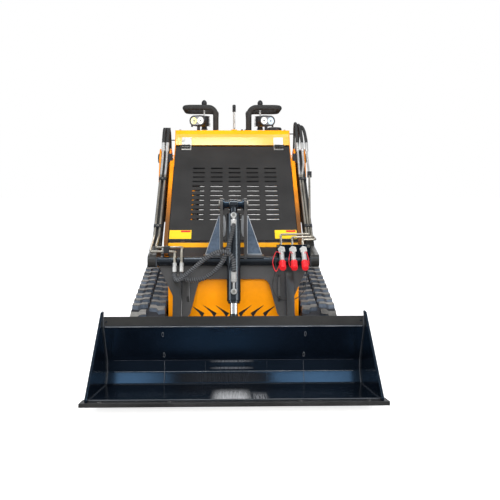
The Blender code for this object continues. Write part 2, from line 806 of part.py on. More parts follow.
def make_arms():
    """Two lift arms with cheeks for their cylinders."""
    outline = rounded([ARM_TOP_KNEE, ARM_FRONT_TOP, ARM_FRONT_LOW, ARM_LOW_FRONT,
                       ARM_LOW_REAR, ARM_TOP_REAR], ARM_CORNER, 3)
    boss = circle(ARM_PIVOT, ARM_BOSS, 28)
    pin_back, pin_up = LIFT_ROD_PIN
    cheek = hull([(pin_back - CHEEK_FRONT, pin_up + CHEEK_RISE), (pin_back + CHEEK_REAR, pin_up + CHEEK_RISE),
                  *circle(LIFT_ROD_PIN, LIFT_EYE_RADIUS)])
    made = []
    for word, side in SIDES:
        limits = span(side, ARM_INNER, ARM_OUTER)
        arm = side_plate("arm", outline, *limits)
        pieces = [arm, side_plate("boss", boss, *span(side, ARM_INNER - BOSS_RISE, ARM_OUTER + BOSS_RISE))]
        for low in (ARM_INNER + BOSS_RISE, ARM_OUTER - BOSS_RISE - CHEEK_THICKNESS):
            pieces.append(side_plate("cheek", cheek, *span(side, low, low + CHEEK_THICKNESS)))
        arm = unite("arm_" + word, pieces)
        bore = pin("bore", ARM_PIVOT, side * (ARM_INNER - 0.01), side * (ARM_OUTER + 0.01),
                   ARM_PIN_RADIUS + RUNNING_GAP, 24)
        eye = pin("eye", LIFT_ROD_PIN, side * (ARM_INNER - 0.01), side * (ARM_OUTER + 0.01), EYE_BORE)
        pocket = span(side, ARM_INNER + BOSS_RISE + CHEEK_THICKNESS, ARM_OUTER - BOSS_RISE - CHEEK_THICKNESS)
        room = pin("room", LIFT_ROD_PIN, *pocket, LIFT_EYE_RADIUS + OPEN_PIVOT_DRIFT, 28)
        made.append(finish(cut(arm, [bore, eye, room]), "gloss_black"))
    return made


APRON_WAY, APRON_LENGTH = way_between(APRON_TOP, APRON_FOOT)


def make_front_frame():
    """Cross tube, apron with its arch, legs, ribs and the tilt cylinder's mast, welded."""
    tube_half = ARM_INNER - TOUCH_GAP
    pieces = [pin("tube", CROSS_TUBE, -tube_half, tube_half, CROSS_TUBE_RADIUS, 24)]
    right = [(APRON_HALF, 0.0), (APRON_LEG_OUTER, APRON_SHOULDER), (APRON_LEG_OUTER, APRON_LENGTH),
             (ARCH_FOOT_HALF, APRON_LENGTH)]
    arch = rounded([(ARCH_FOOT_HALF, APRON_LENGTH), (ARCH_TOP_HALF, ARCH_HEIGHT),
                    (-ARCH_TOP_HALF, ARCH_HEIGHT), (-ARCH_FOOT_HALF, APRON_LENGTH)],
                   ARCH_CORNER, 4, closed=False)
    left = [(-x, s) for x, s in reversed(right[:-1])]
    matrix = slope_matrix(APRON_TOP, APRON_FOOT)
    pieces.append(outline_solid("apron", [right[:-1] + arch + left], matrix, 0.0, APRON_THICKNESS))
    front_off = 0.002
    leg = hull([along(APRON_TOP, APRON_WAY, 0.03, -front_off - APRON_THICKNESS),
                along(APRON_TOP, APRON_WAY, 0.03, front_off),
                along(APRON_TOP, APRON_WAY, 0.08, -LEG_DEPTH), *circle(TILT_HINGE, LEG_LOW_RADIUS, 24)])
    rib = [along(APRON_TOP, APRON_WAY, 0.05, front_off), along(APRON_TOP, APRON_WAY, 0.07, -RIB_DEPTH),
           along(APRON_TOP, APRON_WAY, 0.16, -RIB_DEPTH), along(APRON_TOP, APRON_WAY, 0.18, front_off)]
    bore = circle(TILT_HINGE, PIN_RADIUS + RUNNING_GAP)
    mast = hull([*circle(TILT_TOP_PIN, MAST_HEAD), (MAST_BASE_FRONT, CROSS_TUBE[1]),
                 (MAST_BASE_BACK, CROSS_TUBE[1])])
    mast_bore = circle(TILT_TOP_PIN, PIN_RADIUS + RUNNING_GAP)
    base_up = CROSS_TUBE[1] + CROSS_TUBE_RADIUS - 0.004
    pieces.append(box("base", (-MAST_BASE_HALF, MAST_BASE_HALF), (MAST_BASE_FRONT, MAST_BASE_BACK),
                      (base_up, base_up + MAST_BASE_THICKNESS)))
    for _, side in SIDES:
        pieces.append(side_plate("leg", leg, *span(side, LEG_INNER, LEG_OUTER), [bore]))
        pieces.append(side_plate("rib", rib, *span(side, RIB_INNER, RIB_INNER + RIB_THICKNESS)))
        mast_limits = span(side, MAST_INNER, MAST_INNER + MAST_THICKNESS)
        pieces.append(side_plate("mast", mast, *mast_limits, [mast_bore]))
        foot = base_up + MAST_BASE_THICKNESS / 2
        outer = MAST_INNER + MAST_THICKNESS / 2
        gusset = [(side * outer, foot), (side * GUSSET_FOOT, foot), (side * GUSSET_TIP, GUSSET_TOP),
                  (side * outer, GUSSET_TOP)]
        back = MAST_BASE_BACK - GUSSET_THICKNESS - GUSSET_SETBACK
        pieces.append(front_plate("gusset", gusset, back, GUSSET_THICKNESS))
    return finish(unite("arm_front_frame", pieces), "charcoal")


def make_tilt_pin():
    """Headed pin through the mast that carries the tilt cylinder."""
    reach = MAST_INNER + MAST_THICKNESS + TOUCH_GAP
    end = reach + PIN_HEAD_THICKNESS
    body = pin("pin", TILT_TOP_PIN, -end, end, PIN_RADIUS)
    heads = [pin("head", TILT_TOP_PIN, *span(side, reach, end + TOUCH_GAP), PIN_HEAD) for _, side in SIDES]
    return finish(unite("tilt_pin", [body, *heads]), "steel", 40)


def make_cylinder(name, side_x, barrel_pin, rod_pin, sizes):
    """Barrel with its eye and bore, and a rod with its eye, along the line of their pins."""
    way, length = way_between(barrel_pin, rod_pin)
    radius, start, end, rod_radius, rod_inner, eye_radius, eye_width, bore = sizes

    def place(distance, off=0.0):
        return at(side_x, *along(barrel_pin, way, distance, off))

    barrel = rod("barrel", place(start), place(end), radius, 20)
    eye = pin("eye", barrel_pin, side_x - eye_width / 2, side_x + eye_width / 2, eye_radius)
    neck = rod("neck", place(0.0), place(start + 0.004), eye_width / 2 * 0.9, 16)
    barrel = unite(name + "_barrel", [barrel, neck, eye])
    hollow = rod("hollow", place(start + 0.012), place(end + 0.01), rod_radius + RUNNING_GAP, 16)
    pin_bore = pin("bore", barrel_pin, side_x - eye_width, side_x + eye_width, bore)
    barrel = cut(barrel, [hollow, pin_bore])
    shaft = rod("shaft", place(rod_inner), place(length - eye_radius * 0.7), rod_radius, 16)
    rod_eye = pin("eye", rod_pin, side_x - eye_width / 2, side_x + eye_width / 2, eye_radius)
    shaft = unite(name + "_rod", [shaft, rod_eye])
    eye_bore = pin("bore", rod_pin, side_x - eye_width, side_x + eye_width, bore)
    shaft = cut(shaft, [eye_bore])
    return barrel, shaft, place


def make_tilt_cylinder():
    """Cylinder between the mast and the attachment plate, with two ports on its front."""
    sizes = (TILT_BARREL_RADIUS, TILT_BARREL_START, TILT_BARREL_END, TILT_ROD_RADIUS, TILT_ROD_INNER,
             TILT_EYE_RADIUS, TILT_EYE_WIDTH, PIN_RADIUS + RUNNING_GAP)
    barrel, shaft, place = make_cylinder("tilt", 0.0, TILT_TOP_PIN, TILT_ROD_PIN, sizes)
    front = -1.0
    for distance in (TILT_PORT_TOP, TILT_PORT_LOW):
        start = place(distance, front * (TILT_BARREL_RADIUS - 0.004))
        end = place(distance, front * (TILT_BARREL_RADIUS + PORT_LENGTH))
        barrel = unite("tilt_barrel", [barrel, rod("port", start, end, PORT_RADIUS, 12)])
    empty = joint_empty("tilt_barrel_pivot", at(0.0, *TILT_TOP_PIN))
    hang(empty, finish(barrel, "gloss_black", 40), finish(shaft, "chrome", 40))
    barrel.name = "tilt_barrel"
    return barrel, shaft


def make_lift_cylinders():
    """A lift cylinder in each tower."""
    sizes = (LIFT_BARREL_RADIUS, LIFT_BARREL_START, LIFT_BARREL_END, LIFT_ROD_RADIUS, LIFT_ROD_INNER,
             LIFT_EYE_RADIUS, LIFT_EYE_WIDTH, EYE_BORE)
    for word, side in SIDES:
        x = side * (ARM_INNER + ARM_OUTER) / 2
        barrel, shaft, _ = make_cylinder("lift", x, LIFT_BARREL_PIN, LIFT_ROD_PIN, sizes)
        barrel.name = "lift_barrel_" + word
        shaft.name = "lift_rod_" + word
        empty = joint_empty("lift_barrel_pivot_" + word, at(x, *LIFT_BARREL_PIN))
        hang(empty, finish(barrel, "gloss_black", 40), finish(shaft, "chrome", 40))


def make_chassis():
    """Open tub with a deck flange, lugs for the platform and the panel on its front."""
    tub = box("chassis_frame", (-CHASSIS_HALF, CHASSIS_HALF), (CHASSIS_FRONT, CHASSIS_REAR),
              (CHASSIS_LOW, CHASSIS_HIGH))
    deck = box("deck", (-DECK_HALF, DECK_HALF), (DECK_FRONT, CHASSIS_REAR), (DECK_LOW, DECK_HIGH))
    lug_outline = hull([(CHASSIS_REAR - 0.005, PLATFORM_HINGE[1] - 0.03),
                        (CHASSIS_REAR - 0.005, PLATFORM_HINGE[1] + 0.03),
                        *circle(PLATFORM_HINGE, PLATFORM_TUBE + 0.010)])
    lugs = []
    for _, side in SIDES:
        low = PLATFORM_HALF + SLIDE_GAP
        lugs.append(side_plate("lug", lug_outline, *span(side, low, low + PLATFORM_LUG_THICKNESS),
                               [circle(PLATFORM_HINGE, PLATFORM_TUBE * 0.6 + RUNNING_GAP)]))
    tub = unite("chassis_frame", [tub, deck, *lugs])
    inner = CHASSIS_HALF - CHASSIS_WALL
    hollow = box("hollow", (-inner, inner), (CHASSIS_FRONT + CHASSIS_WALL, CHASSIS_REAR - CHASSIS_WALL),
                 (CHASSIS_LOW + CHASSIS_WALL, DECK_HIGH + 0.05))
    tub = finish(cut(tub, [hollow]), "orange")
    vents = []
    for _, side in SIDES:
        for i in range(VENT_COUNT):
            foot = side * (VENT_FIRST + VENT_PITCH * i)
            tip = foot + side * VENT_LEAN
            vents.append([(foot, VENT_LOW), (foot + side * VENT_FOOT * 0.5, VENT_LOW + VENT_FOOT * 0.8),
                           (tip, VENT_LOW + VENT_HEIGHT),
                           (foot - side * VENT_FOOT * 0.4, VENT_LOW + VENT_FOOT * 0.7)])
    outline = [(-CHASSIS_HALF, FRONT_PANEL_LOW), (CHASSIS_HALF, FRONT_PANEL_LOW),
               (CHASSIS_HALF, FRONT_PANEL_HIGH), (-CHASSIS_HALF, FRONT_PANEL_HIGH)]
    back = CHASSIS_FRONT - TOUCH_GAP - PANEL_THICKNESS
    finish(front_plate("front_panel", outline, back, PANEL_THICKNESS, vents), "orange")
    return tub


HOOD_WAY, HOOD_LENGTH = way_between(HOOD_TOP, HOOD_FOOT)


def make_hood():
    """Sloping grille door on two hinges, which opens about its top edge."""
    matrix = slope_matrix(HOOD_TOP, HOOD_FOOT)
    half = HOOD_HALF
    slots = []
    for column in range(SLOT_COLUMNS):
        x = SLOT_SHIFT + (column - (SLOT_COLUMNS - 1) / 2) * SLOT_COLUMN_PITCH
        for row in range(SLOT_ROWS):
            s = SLOT_FIRST_ROW + row * SLOT_ROW_PITCH
            a, b = x - SLOT_LENGTH / 2, x + SLOT_LENGTH / 2
            c, d = s - SLOT_HEIGHT / 2, s + SLOT_HEIGHT / 2
            slots.append([(a, c), (b, c), (b, d), (a, d)])
    start = HINGE_RADIUS + SLIDE_GAP
    outline = [(-half, start), (half, start), (half, HOOD_LENGTH), (-half, HOOD_LENGTH)]
    door = outline_solid("hood_door", [outline, *slots], matrix, 0.0, HOOD_THICKNESS)
    barrels = []
    for _, side in SIDES:
        low, high = span(side, HINGE_X - HINGE_WIDTH / 2, HINGE_X + HINGE_WIDTH / 2)
        barrels.append(pin("barrel", HOOD_TOP, low, high, HINGE_RADIUS, 12))
        leaf = [(low, 0.0), (high, 0.0), (high, 0.03), (low, 0.03)]
        barrels.append(outline_solid("leaf", [leaf], matrix, -0.003, 0.002))
    door = finish(unite("hood_door", [door, *barrels]), "charcoal")
    hang(joint_empty("hood_pivot", at(0.0, *HOOD_TOP)), door)
    return door


def make_covers():
    """Top cowl with its bent front band and rear wall, the low front cover and the side panels."""
    line = [COWL_FOOT, COWL_FOLD, COWL_EDGE, (COWL_REAR, DECK_TOP), (COWL_REAR, COWL_REAR_LOW)]
    cowl = side_plate("top_cowl", bent_strip(line, COWL_PLATE), -HOOD_HALF, HOOD_HALF)
    sockets = []
    for _, side in SIDES:
        place = (side * STICK_X, STICK_BACK)
        sockets.append(rod("socket", at(*place, DECK_TOP - 0.002), at(*place, DECK_TOP + SOCKET_HEIGHT),
                           SOCKET_RADIUS, 20, SOCKET_RADIUS * 0.75))
    lever_base = rod("socket", at(LEVER_X, LEVER_BACK, DECK_TOP - 0.002),
                     at(LEVER_X, LEVER_BACK, DECK_TOP + SOCKET_HEIGHT), SOCKET_RADIUS * 0.6, 16)
    cowl = unite("top_cowl", [cowl, *sockets, lever_base])
    bores = []
    for x, back, radius in ((-STICK_X, STICK_BACK, STICK_BALL), (STICK_X, STICK_BACK, STICK_BALL),
                            (LEVER_X, LEVER_BACK, LEVER_GRIP_RADIUS)):
        bores.append(rod("bore", at(x, back, DECK_TOP - 0.02), at(x, back, DECK_TOP + 0.05),
                         radius + RUNNING_GAP, 20))
    finish(cut(cowl, bores), "orange")
    finish(box("lower_cover", (-HOOD_HALF, HOOD_HALF), (COVER_BACK, COVER_BACK + COVER_THICKNESS),
               (CHASSIS_HIGH + TOUCH_GAP, HOOD_FOOT[1] - 0.005)), "charcoal")
    low = DECK_HIGH + TOUCH_GAP
    slope, _ = way_between(HOOD_FOOT, HOOD_TOP)
    reach = (PANEL_HIGH - HOOD_FOOT[1]) / slope[1]
    outline = [(DECK_FRONT, low), (COVER_BACK, low + PANEL_TOE), (HOOD_FOOT[0] + PANEL_HEEL, HOOD_FOOT[1]),
               along(HOOD_FOOT, slope, reach), (PANEL_STEP_BACK, PANEL_STEP_UP), (COWL_REAR, PANEL_STEP_UP),
               (COWL_REAR, low)]
    skin_foot = along(HOOD_FOOT, slope, reach - PANEL_LAP)
    upper = [(skin_foot[0] + PANEL_INSET, skin_foot[1]), HOOD_TOP, COWL_FOLD, COWL_EDGE,
             (COWL_REAR, DECK_TOP), (COWL_REAR - PANEL_INSET, skin_foot[1])]
    for word, side in SIDES:
        skin = side_plate("skin", upper, *span(side, SIDE_PANEL_INNER, SIDE_PANEL_INNER + PANEL_SKIN))
        panel = side_plate("panel", outline, *span(side, SIDE_PANEL_INNER + PANEL_INSET, SIDE_PANEL_OUTER))
        finish(unite("side_panel_" + word, [panel, skin]), "orange")


def make_towers():
    """Tower of two plates joined by a rear web, with the pins of the arm and its cylinder."""
    inner_outline = hull([*circle(ARM_PIVOT, TOWER_HEAD, 24), (TOWER_FRONT, TOWER_FRONT_LOW),
                          (TOWER_FRONT, DECK_HIGH - 0.012), (TOWER_REAR, DECK_HIGH - 0.012),
                          (TOWER_REAR, TOWER_WEB_HIGH)])
    outer_outline = hull([*circle(ARM_PIVOT, TOWER_HEAD, 24), (TOWER_FRONT, TOWER_FRONT_LOW),
                          (TOWER_FRONT + 0.10, TOWER_OUTER_LOW), (TOWER_REAR, TOWER_OUTER_LOW),
                          (TOWER_REAR, TOWER_WEB_HIGH)])
    for word, side in SIDES:
        inner = span(side, TOWER_SLOT_INNER - TOWER_INNER_PLATE, TOWER_SLOT_INNER)
        outer = span(side, TOWER_SLOT_OUTER, TOWER_SLOT_OUTER + TOWER_OUTER_PLATE)
        web_x = span(side, TOWER_SLOT_INNER - 0.003, TOWER_SLOT_OUTER + 0.003)
        pieces = [
            side_plate("inner", inner_outline, *inner),
            side_plate("outer", outer_outline, *outer),
            box("web", web_x, (TOWER_REAR - TOWER_WEB, TOWER_REAR), (TOWER_OUTER_LOW, TOWER_WEB_HIGH)),
            box("ports", web_x, (TOWER_REAR - TOWER_WEB - PORT_BLOCK_DEPTH, TOWER_REAR - 0.004),
                (TOWER_WEB_HIGH - PORT_BLOCK_HEIGHT, TOWER_WEB_HIGH)),
        ]
        low, high = span(side, TOWER_SLOT_INNER - 0.004, TOWER_SLOT_OUTER + TOWER_OUTER_PLATE + 0.004)
        pieces.append(pin("pin", ARM_PIVOT, low, high, ARM_PIN_RADIUS, 24))
        pieces.append(pin("pin", LIFT_BARREL_PIN, low, high, PIN_RADIUS, 20))
        finish(unite("tower_" + word, pieces), "orange")


def make_insides():
    """Engine and hydraulic tank, standing on the tub's floor."""
    floor = CHASSIS_LOW + CHASSIS_WALL + TOUCH_GAP
    block = box("block", (-ENGINE_HALF, ENGINE_HALF), (ENGINE_FRONT, ENGINE_REAR),
                (floor, ENGINE_SUMP + ENGINE_BLOCK))
    head = box("head", (-ENGINE_HEAD_HALF, ENGINE_HEAD_HALF), (ENGINE_FRONT + 0.03, ENGINE_REAR - 0.03),
               (ENGINE_SUMP, ENGINE_HIGH))
    fan_ends = [at(0.0, back, FAN_UP) for back in (ENGINE_FRONT - FAN_DEPTH, ENGINE_FRONT + 0.01)]
    fan = rod("fan", *fan_ends, FAN_RADIUS, 28)
    finish(unite("engine_block", [block, head, fan]), "charcoal")
    tank = box("hydraulic_tank", (-TANK_HALF, TANK_HALF), (TANK_FRONT, TANK_REAR), (floor, TANK_HIGH))
    bevel = tank.modifiers.new("Bevel", "BEVEL")
    bevel.width = TANK_EDGE
    bevel.segments = 1
    finish(to_mesh(tank), "charcoal")


def make_station():
    """Handles, joysticks, throttle lever, lamps and the fold-up platform."""
    for word, side in SIDES:
        up = DECK_TOP + TOUCH_GAP
        inner, outer = side * HANDLE_INNER, side * HANDLE_OUTER
        route = [at(inner, HANDLE_FRONT, up), at(inner, HANDLE_FRONT, HANDLE_UP)]
        route += [at(outer, HANDLE_FRONT, HANDLE_UP), at(outer, HANDLE_REAR, HANDLE_UP)]
        route += [at(inner, HANDLE_REAR, HANDLE_UP), at(inner, HANDLE_FOOT_REAR, HANDLE_UP - HANDLE_DROP)]
        route += [at(inner, HANDLE_FOOT_REAR, up)]
        tube = pipe("handle", rounded(route, HANDLE_BEND, 4, closed=False), HANDLE_RADIUS, 1)
        feet = [rod("foot", at(inner, back, up), at(inner, back, up + FLANGE_THICKNESS), FLANGE_RADIUS, 16)
                for back in (HANDLE_FRONT, HANDLE_FOOT_REAR)]
        finish(unite("handle_" + word, [tube, *feet]), "grip", 50)
        make_joystick(word, side)
        make_lamp(word, side)
    place = (LEVER_X, LEVER_BACK)
    ball_up = DECK_TOP + SOCKET_HEIGHT / 2
    stem = rod("stem", at(*place, ball_up), at(*place, LEVER_GRIP_LOW + 0.005), LEVER_RADIUS, 12)
    grip = rod("grip", at(*place, LEVER_GRIP_LOW), at(*place, LEVER_TOP), LEVER_GRIP_RADIUS, 16)
    hub = ball("hub", at(*place, ball_up), LEVER_GRIP_RADIUS - 0.0005)
    lever = finish(unite("centre_lever", [stem, grip, hub]), "grip", 50)
    hang(joint_empty("lever_pivot", at(*place, ball_up)), lever)


def ball(name, centre, radius, stretch=1.0, segments=12):
    """Ball or upright egg."""
    bm = bmesh.new()
    bmesh.ops.create_uvsphere(bm, u_segments=segments, v_segments=segments // 2, radius=radius)
    bmesh.ops.scale(bm, vec=(1.0, 1.0, stretch), verts=bm.verts)
    bmesh.ops.translate(bm, vec=centre, verts=bm.verts)
    return from_bmesh(name, bm)


def make_joystick(word, side):
    """Stem with a ball foot and an egg-shaped knob."""
    place = (side * STICK_X, STICK_BACK)
    foot = ball("ball", at(*place, STICK_UP), STICK_BALL - 0.0002)
    stem = rod("stem", at(*place, STICK_UP), at(*place, STICK_TOP - KNOB_HEIGHT * 0.6), STICK_RADIUS, 12)
    knob = ball("knob", at(*place, STICK_TOP - KNOB_HEIGHT / 2), KNOB_RADIUS, KNOB_HEIGHT / 2 / KNOB_RADIUS)
    stick = finish(unite("joystick_" + word, [stem, foot, knob]), "grip", 50)
    hang(joint_empty("stick_pivot_" + word, at(*place, STICK_UP)), stick)


def make_lamp(word, side):
    """Oval work lamp with cooling fins on a post that swivels on the deck."""
    half, radius = (LAMP_WIDTH - LAMP_HEIGHT) / 2, LAMP_HEIGHT / 2
    oval = arc((half, 0.0), radius, -90, 90, 8) + arc((-half, 0.0), radius, 90, 270, 8)
    turn = Matrix.Rotation(math.radians(-side * -LAMP_YAW_DEG), 4, "Z")
    upright = Matrix(((1, 0, 0, 0), (0, 0, 1, 0), (0, 1, 0, 0), (0, 0, 0, 1)))
    centre = at(side * LAMP_X, LAMP_BACK, LAMP_UP)
    matrix = Matrix.Translation(centre) @ turn @ upright
    pieces = [outline_solid("shell", [oval], matrix, -LAMP_DEPTH / 2, LAMP_DEPTH / 2)]
    fin = LAMP_WIDTH * 0.8 / (2 * LAMP_FIN_COUNT - 1)
    for i in range(LAMP_FIN_COUNT):
        u = -LAMP_WIDTH * 0.4 + 2 * i * fin
        strip = [(u, -radius * 0.7), (u + fin, -radius * 0.7), (u + fin, radius * 0.7), (u, radius * 0.7)]
        pieces.append(outline_solid("fin", [strip], matrix, LAMP_DEPTH / 2 - LAMP_FIN_SINK,
                                    LAMP_DEPTH / 2 + LAMP_FIN_DEPTH))
    foot_up = DECK_TOP + TOUCH_GAP
    root = at(side * LAMP_X, LAMP_BACK, foot_up)
    pieces.append(rod("post", root, centre - Vector((0, 0, radius * 0.8)), LAMP_POST, 12))
    pieces.append(rod("foot", root, root + Vector((0, 0, LAMP_FOOT_THICKNESS)), LAMP_FOOT / 2, 16))
    lamp = finish(unite("lamp_" + word, pieces), "charcoal")
    hang(joint_empty("lamp_pivot_" + word, root), lamp)


def make_platform():
    """Standing plate with a rim, on a hinge tube whose ends turn in the chassis lugs."""
    start = PLATFORM_HINGE[0] + PLATFORM_TUBE * 0.5
    low = PLATFORM_HINGE[1] - PLATFORM_THICKNESS / 2
    high = low + PLATFORM_THICKNESS
    plate = box("plate", (-PLATFORM_HALF, PLATFORM_HALF), (start, PLATFORM_REAR), (low, high))
    rim = box("rim", (-PLATFORM_HALF, PLATFORM_HALF), (PLATFORM_REAR - PLATFORM_RIM_THICKNESS, PLATFORM_REAR),
              (high - PLATFORM_RIM, high))
    tube = pin("tube", PLATFORM_HINGE, -PLATFORM_HALF, PLATFORM_HALF, PLATFORM_TUBE, 20)
    reach = PLATFORM_HALF + SLIDE_GAP + PLATFORM_LUG_THICKNESS
    stub = pin("stub", PLATFORM_HINGE, -reach, reach, PLATFORM_TUBE * 0.6, 20)
    sides = []
    for _, side in SIDES:
        sides.append(box("rim", span(side, PLATFORM_HALF - PLATFORM_RIM_THICKNESS, PLATFORM_HALF),
                         (start + PLATFORM_RIM, PLATFORM_REAR), (high - PLATFORM_RIM, high)))
    platform = finish(unite("platform", [plate, rim, tube, stub, *sides]), "charcoal")
    hang(joint_empty("platform_pivot", at(0.0, *PLATFORM_HINGE)), platform)


# Track units
REAR_CENTRE = (REAR_CENTRE_BACK, REAR_RADIUS + RUNNING_GAP + BELT_THICKNESS + LUG_HEIGHT)
ROLLER_UP = ROLLER_RADIUS + RUNNING_GAP + BELT_THICKNESS + LUG_HEIGHT


def belt_wheels():
    """Centres and inner belt radii, in order round the loop."""
    return [(REAR_CENTRE, REAR_RADIUS + RUNNING_GAP), (SPROCKET_CENTRE, SPROCKET_RADIUS + RUNNING_GAP),
            (IDLER_CENTRE, IDLER_RADIUS + RUNNING_GAP)]


def belt_line(offset, step_deg=9.0):
    """Closed line round the wheels at an offset outside the belt's inner face."""
    wheels = belt_wheels()
    points = []
    count = len(wheels)
    for i in range(count):
        (before, r0), (here, r1), (after, r2) = wheels[i - 1], wheels[i], wheels[(i + 1) % count]
        start = tangent_deg(before, r0 + offset, here, r1 + offset)
        end = tangent_deg(here, r1 + offset, after, r2 + offset)
        while end < start:
            end += 360.0
        steps = max(2, round((end - start) / step_deg))
        points += arc(here, r1 + offset, start, end, steps)
    return points


def tangent_deg(a, ra, b, rb):
    """Direction of the outer tangent's contact on two circles, for an anticlockwise belt."""
    heading = math.degrees(math.atan2(b[1] - a[1], b[0] - a[0]))
    lean = math.degrees(math.asin((ra - rb) / math.dist(a, b)))
    return heading - 90.0 + lean


def lugged_line(phase):
    """Outer line of the belt with its lugs, at a share of the lug pitch."""
    base = belt_line(BELT_THICKNESS - LUG_SINK, 4.0)
    tips = belt_line(BELT_THICKNESS + LUG_HEIGHT, 4.0)
    lengths = [0.0]
    for a, b in zip(base, base[1:] + base[:1]):
        lengths.append(lengths[-1] + math.dist(a, b))
    total = lengths[-1]
    pitch = total / LUG_COUNT

    def place(distance, line):
        distance %= total
        k = max(i for i in range(len(base)) if lengths[i] <= distance)
        t = (distance - lengths[k]) / max(1e-9, lengths[k + 1] - lengths[k])
        a, b = line[k], line[(k + 1) % len(line)]
        return (a[0] + (b[0] - a[0]) * t, a[1] + (b[1] - a[1]) * t)

    made = []
    for i in range(LUG_COUNT):
        middle = (i + phase) * pitch
        for share, line in ((-LUG_BASE_SHARE, base), (-LUG_TIP_SHARE, tips), (LUG_TIP_SHARE, tips),
                            (LUG_BASE_SHARE, base)):
            made.append(place(middle + share * pitch / 2, line))
    return made


def make_track(word, side):
    """Belt, frame beam, wheels, sprocket and motor of one side."""
    middle = (TRACK_INNER + TRACK_OUTER) / 2
    inner_line = belt_line(0.0)
    band = side_plate("band", belt_line(BELT_THICKNESS), *span(side, TRACK_INNER, TRACK_OUTER), [inner_line])
    core = belt_line(BELT_THICKNESS - 2 * LUG_SINK)
    inner_row = span(side, TRACK_INNER + LUG_EDGE, middle - LUG_EDGE)
    outer_row = span(side, middle + LUG_EDGE, TRACK_OUTER - LUG_EDGE)
    rows = [side_plate("row", lugged_line(0.0), *inner_row, [core]),
            side_plate("row", lugged_line(0.5), *outer_row, [core])]
    finish(unite("track_belt_" + word, [band, *rows]), "rubber")
    rollers = [(back, ROLLER_UP) for back in ROLLER_BACKS]
    hubs = [p for centre in rollers for p in circle(centre, BEAM_HUB, 12)]
    beam = hull([*circle(IDLER_CENTRE, BEAM_END, 16), *circle(REAR_CENTRE, BEAM_END, 16), *hubs, BEAM_TOP])
    holes = [circle(c, AXLE_RADIUS + RUNNING_GAP, 16) for c in (IDLER_CENTRE, REAR_CENTRE, *rollers)]
    pieces = [side_plate("beam", beam, *span(side, BEAM_INNER, BEAM_OUTER), holes)]
    for back in MOUNT_BACKS:
        pieces.append(box("mount", span(side, CHASSIS_HALF + TOUCH_GAP, BEAM_INNER + 0.004),
                          (back - MOUNT_LENGTH / 2, back + MOUNT_LENGTH / 2), (MOUNT_LOW, MOUNT_HIGH)))
    finish(unite("track_frame_" + word, pieces), "charcoal")
    wheels = [("front_idler_" + word, IDLER_CENTRE, IDLER_RADIUS, 28),
              ("rear_idler_" + word, REAR_CENTRE, REAR_RADIUS, 24)]
    for i, centre in enumerate(rollers):
        wheels.append(("track_roller_%s_%d" % (word, i + 1), centre, ROLLER_RADIUS, 20))
    for name, centre, radius, sides in wheels:
        outer_end = TRACK_OUTER - WHEEL_OVERHANG
        inner_end = TRACK_INNER + WHEEL_OVERHANG
        discs = [pin("disc", centre, *span(side, inner_end, BEAM_INNER - SLIDE_GAP), radius, sides),
                 pin("disc", centre, *span(side, BEAM_OUTER + SLIDE_GAP, outer_end), radius, sides)]
        axle = pin("axle", centre, *span(side, inner_end + 0.01, outer_end - 0.01), AXLE_RADIUS, 16)
        wheel = finish(unite(name, [axle, *discs]), "steel", 40)
        hang(joint_empty(name + "_axis", at(side * middle, *centre)), wheel)
    teeth = []
    for i in range(SPROCKET_TEETH):
        for share, radius in ((-0.30, SPROCKET_RADIUS - SPROCKET_TOOTH), (-0.17, SPROCKET_RADIUS),
                              (0.17, SPROCKET_RADIUS), (0.30, SPROCKET_RADIUS - SPROCKET_TOOTH)):
            angle = (i + share) * 2 * math.pi / SPROCKET_TEETH
            teeth.append((SPROCKET_CENTRE[0] + radius * math.cos(angle),
                          SPROCKET_CENTRE[1] + radius * math.sin(angle)))
    sprocket = side_plate("drive_sprocket_" + word, teeth, *span(side, MOTOR_OUTER + SLIDE_GAP, BEAM_OUTER),
                          [circle(SPROCKET_CENTRE, SHAFT_RADIUS + RUNNING_GAP)])
    hang(joint_empty("sprocket_axis_" + word, at(side * middle, *SPROCKET_CENTRE)), finish(sprocket, "steel"))
    limits = span(side, CHASSIS_HALF + TOUCH_GAP, MOTOR_OUTER)
    motor = pin("motor", SPROCKET_CENTRE, *limits, MOTOR_RADIUS, 24)
    shaft = pin("shaft", SPROCKET_CENTRE, *span(side, MOTOR_OUTER - 0.004, BEAM_OUTER + 0.01), SHAFT_RADIUS)
    finish(unite("drive_motor_" + word, [motor, shaft]), "charcoal", 40)


def arm_top(back, rise=0.0):
    """Height of a line over the arm's sloping top edge."""
    share = (back - ARM_TOP_KNEE[0]) / (ARM_TOP_REAR[0] - ARM_TOP_KNEE[0])
    return ARM_TOP_KNEE[1] + share * (ARM_TOP_REAR[1] - ARM_TOP_KNEE[1]) + rise


def crimp(x, start, end, radius=CRIMP_RADIUS):
    """Crimped sleeve over the end of a pipe, between two places."""
    way, _ = way_between(start, end)
    return rod("crimp", at(x, *along(start, way, -CRIMP_OVERLAP)), at(x, *end), radius, 12)


def clamps(side):
    """Blocks that hold the pipes of one arm, seated on its top edge."""
    way, _ = way_between(ARM_TOP_KNEE, ARM_TOP_REAR)
    made = []
    for back in CLAMP_BACKS:
        foot = (back, arm_top(back))
        half, seat = CLAMP_LENGTH / 2, 1.3 * TOUCH_GAP
        corners = [along(foot, way, -half, seat), along(foot, way, half, seat),
                   along(foot, way, half, CLAMP_HEIGHT), along(foot, way, -half, CLAMP_HEIGHT)]
        limits = span(side, ARM_INNER + BOSS_RISE, ARM_OUTER - BOSS_RISE)
        made.append(side_plate("clamp", corners, *limits))
    return made


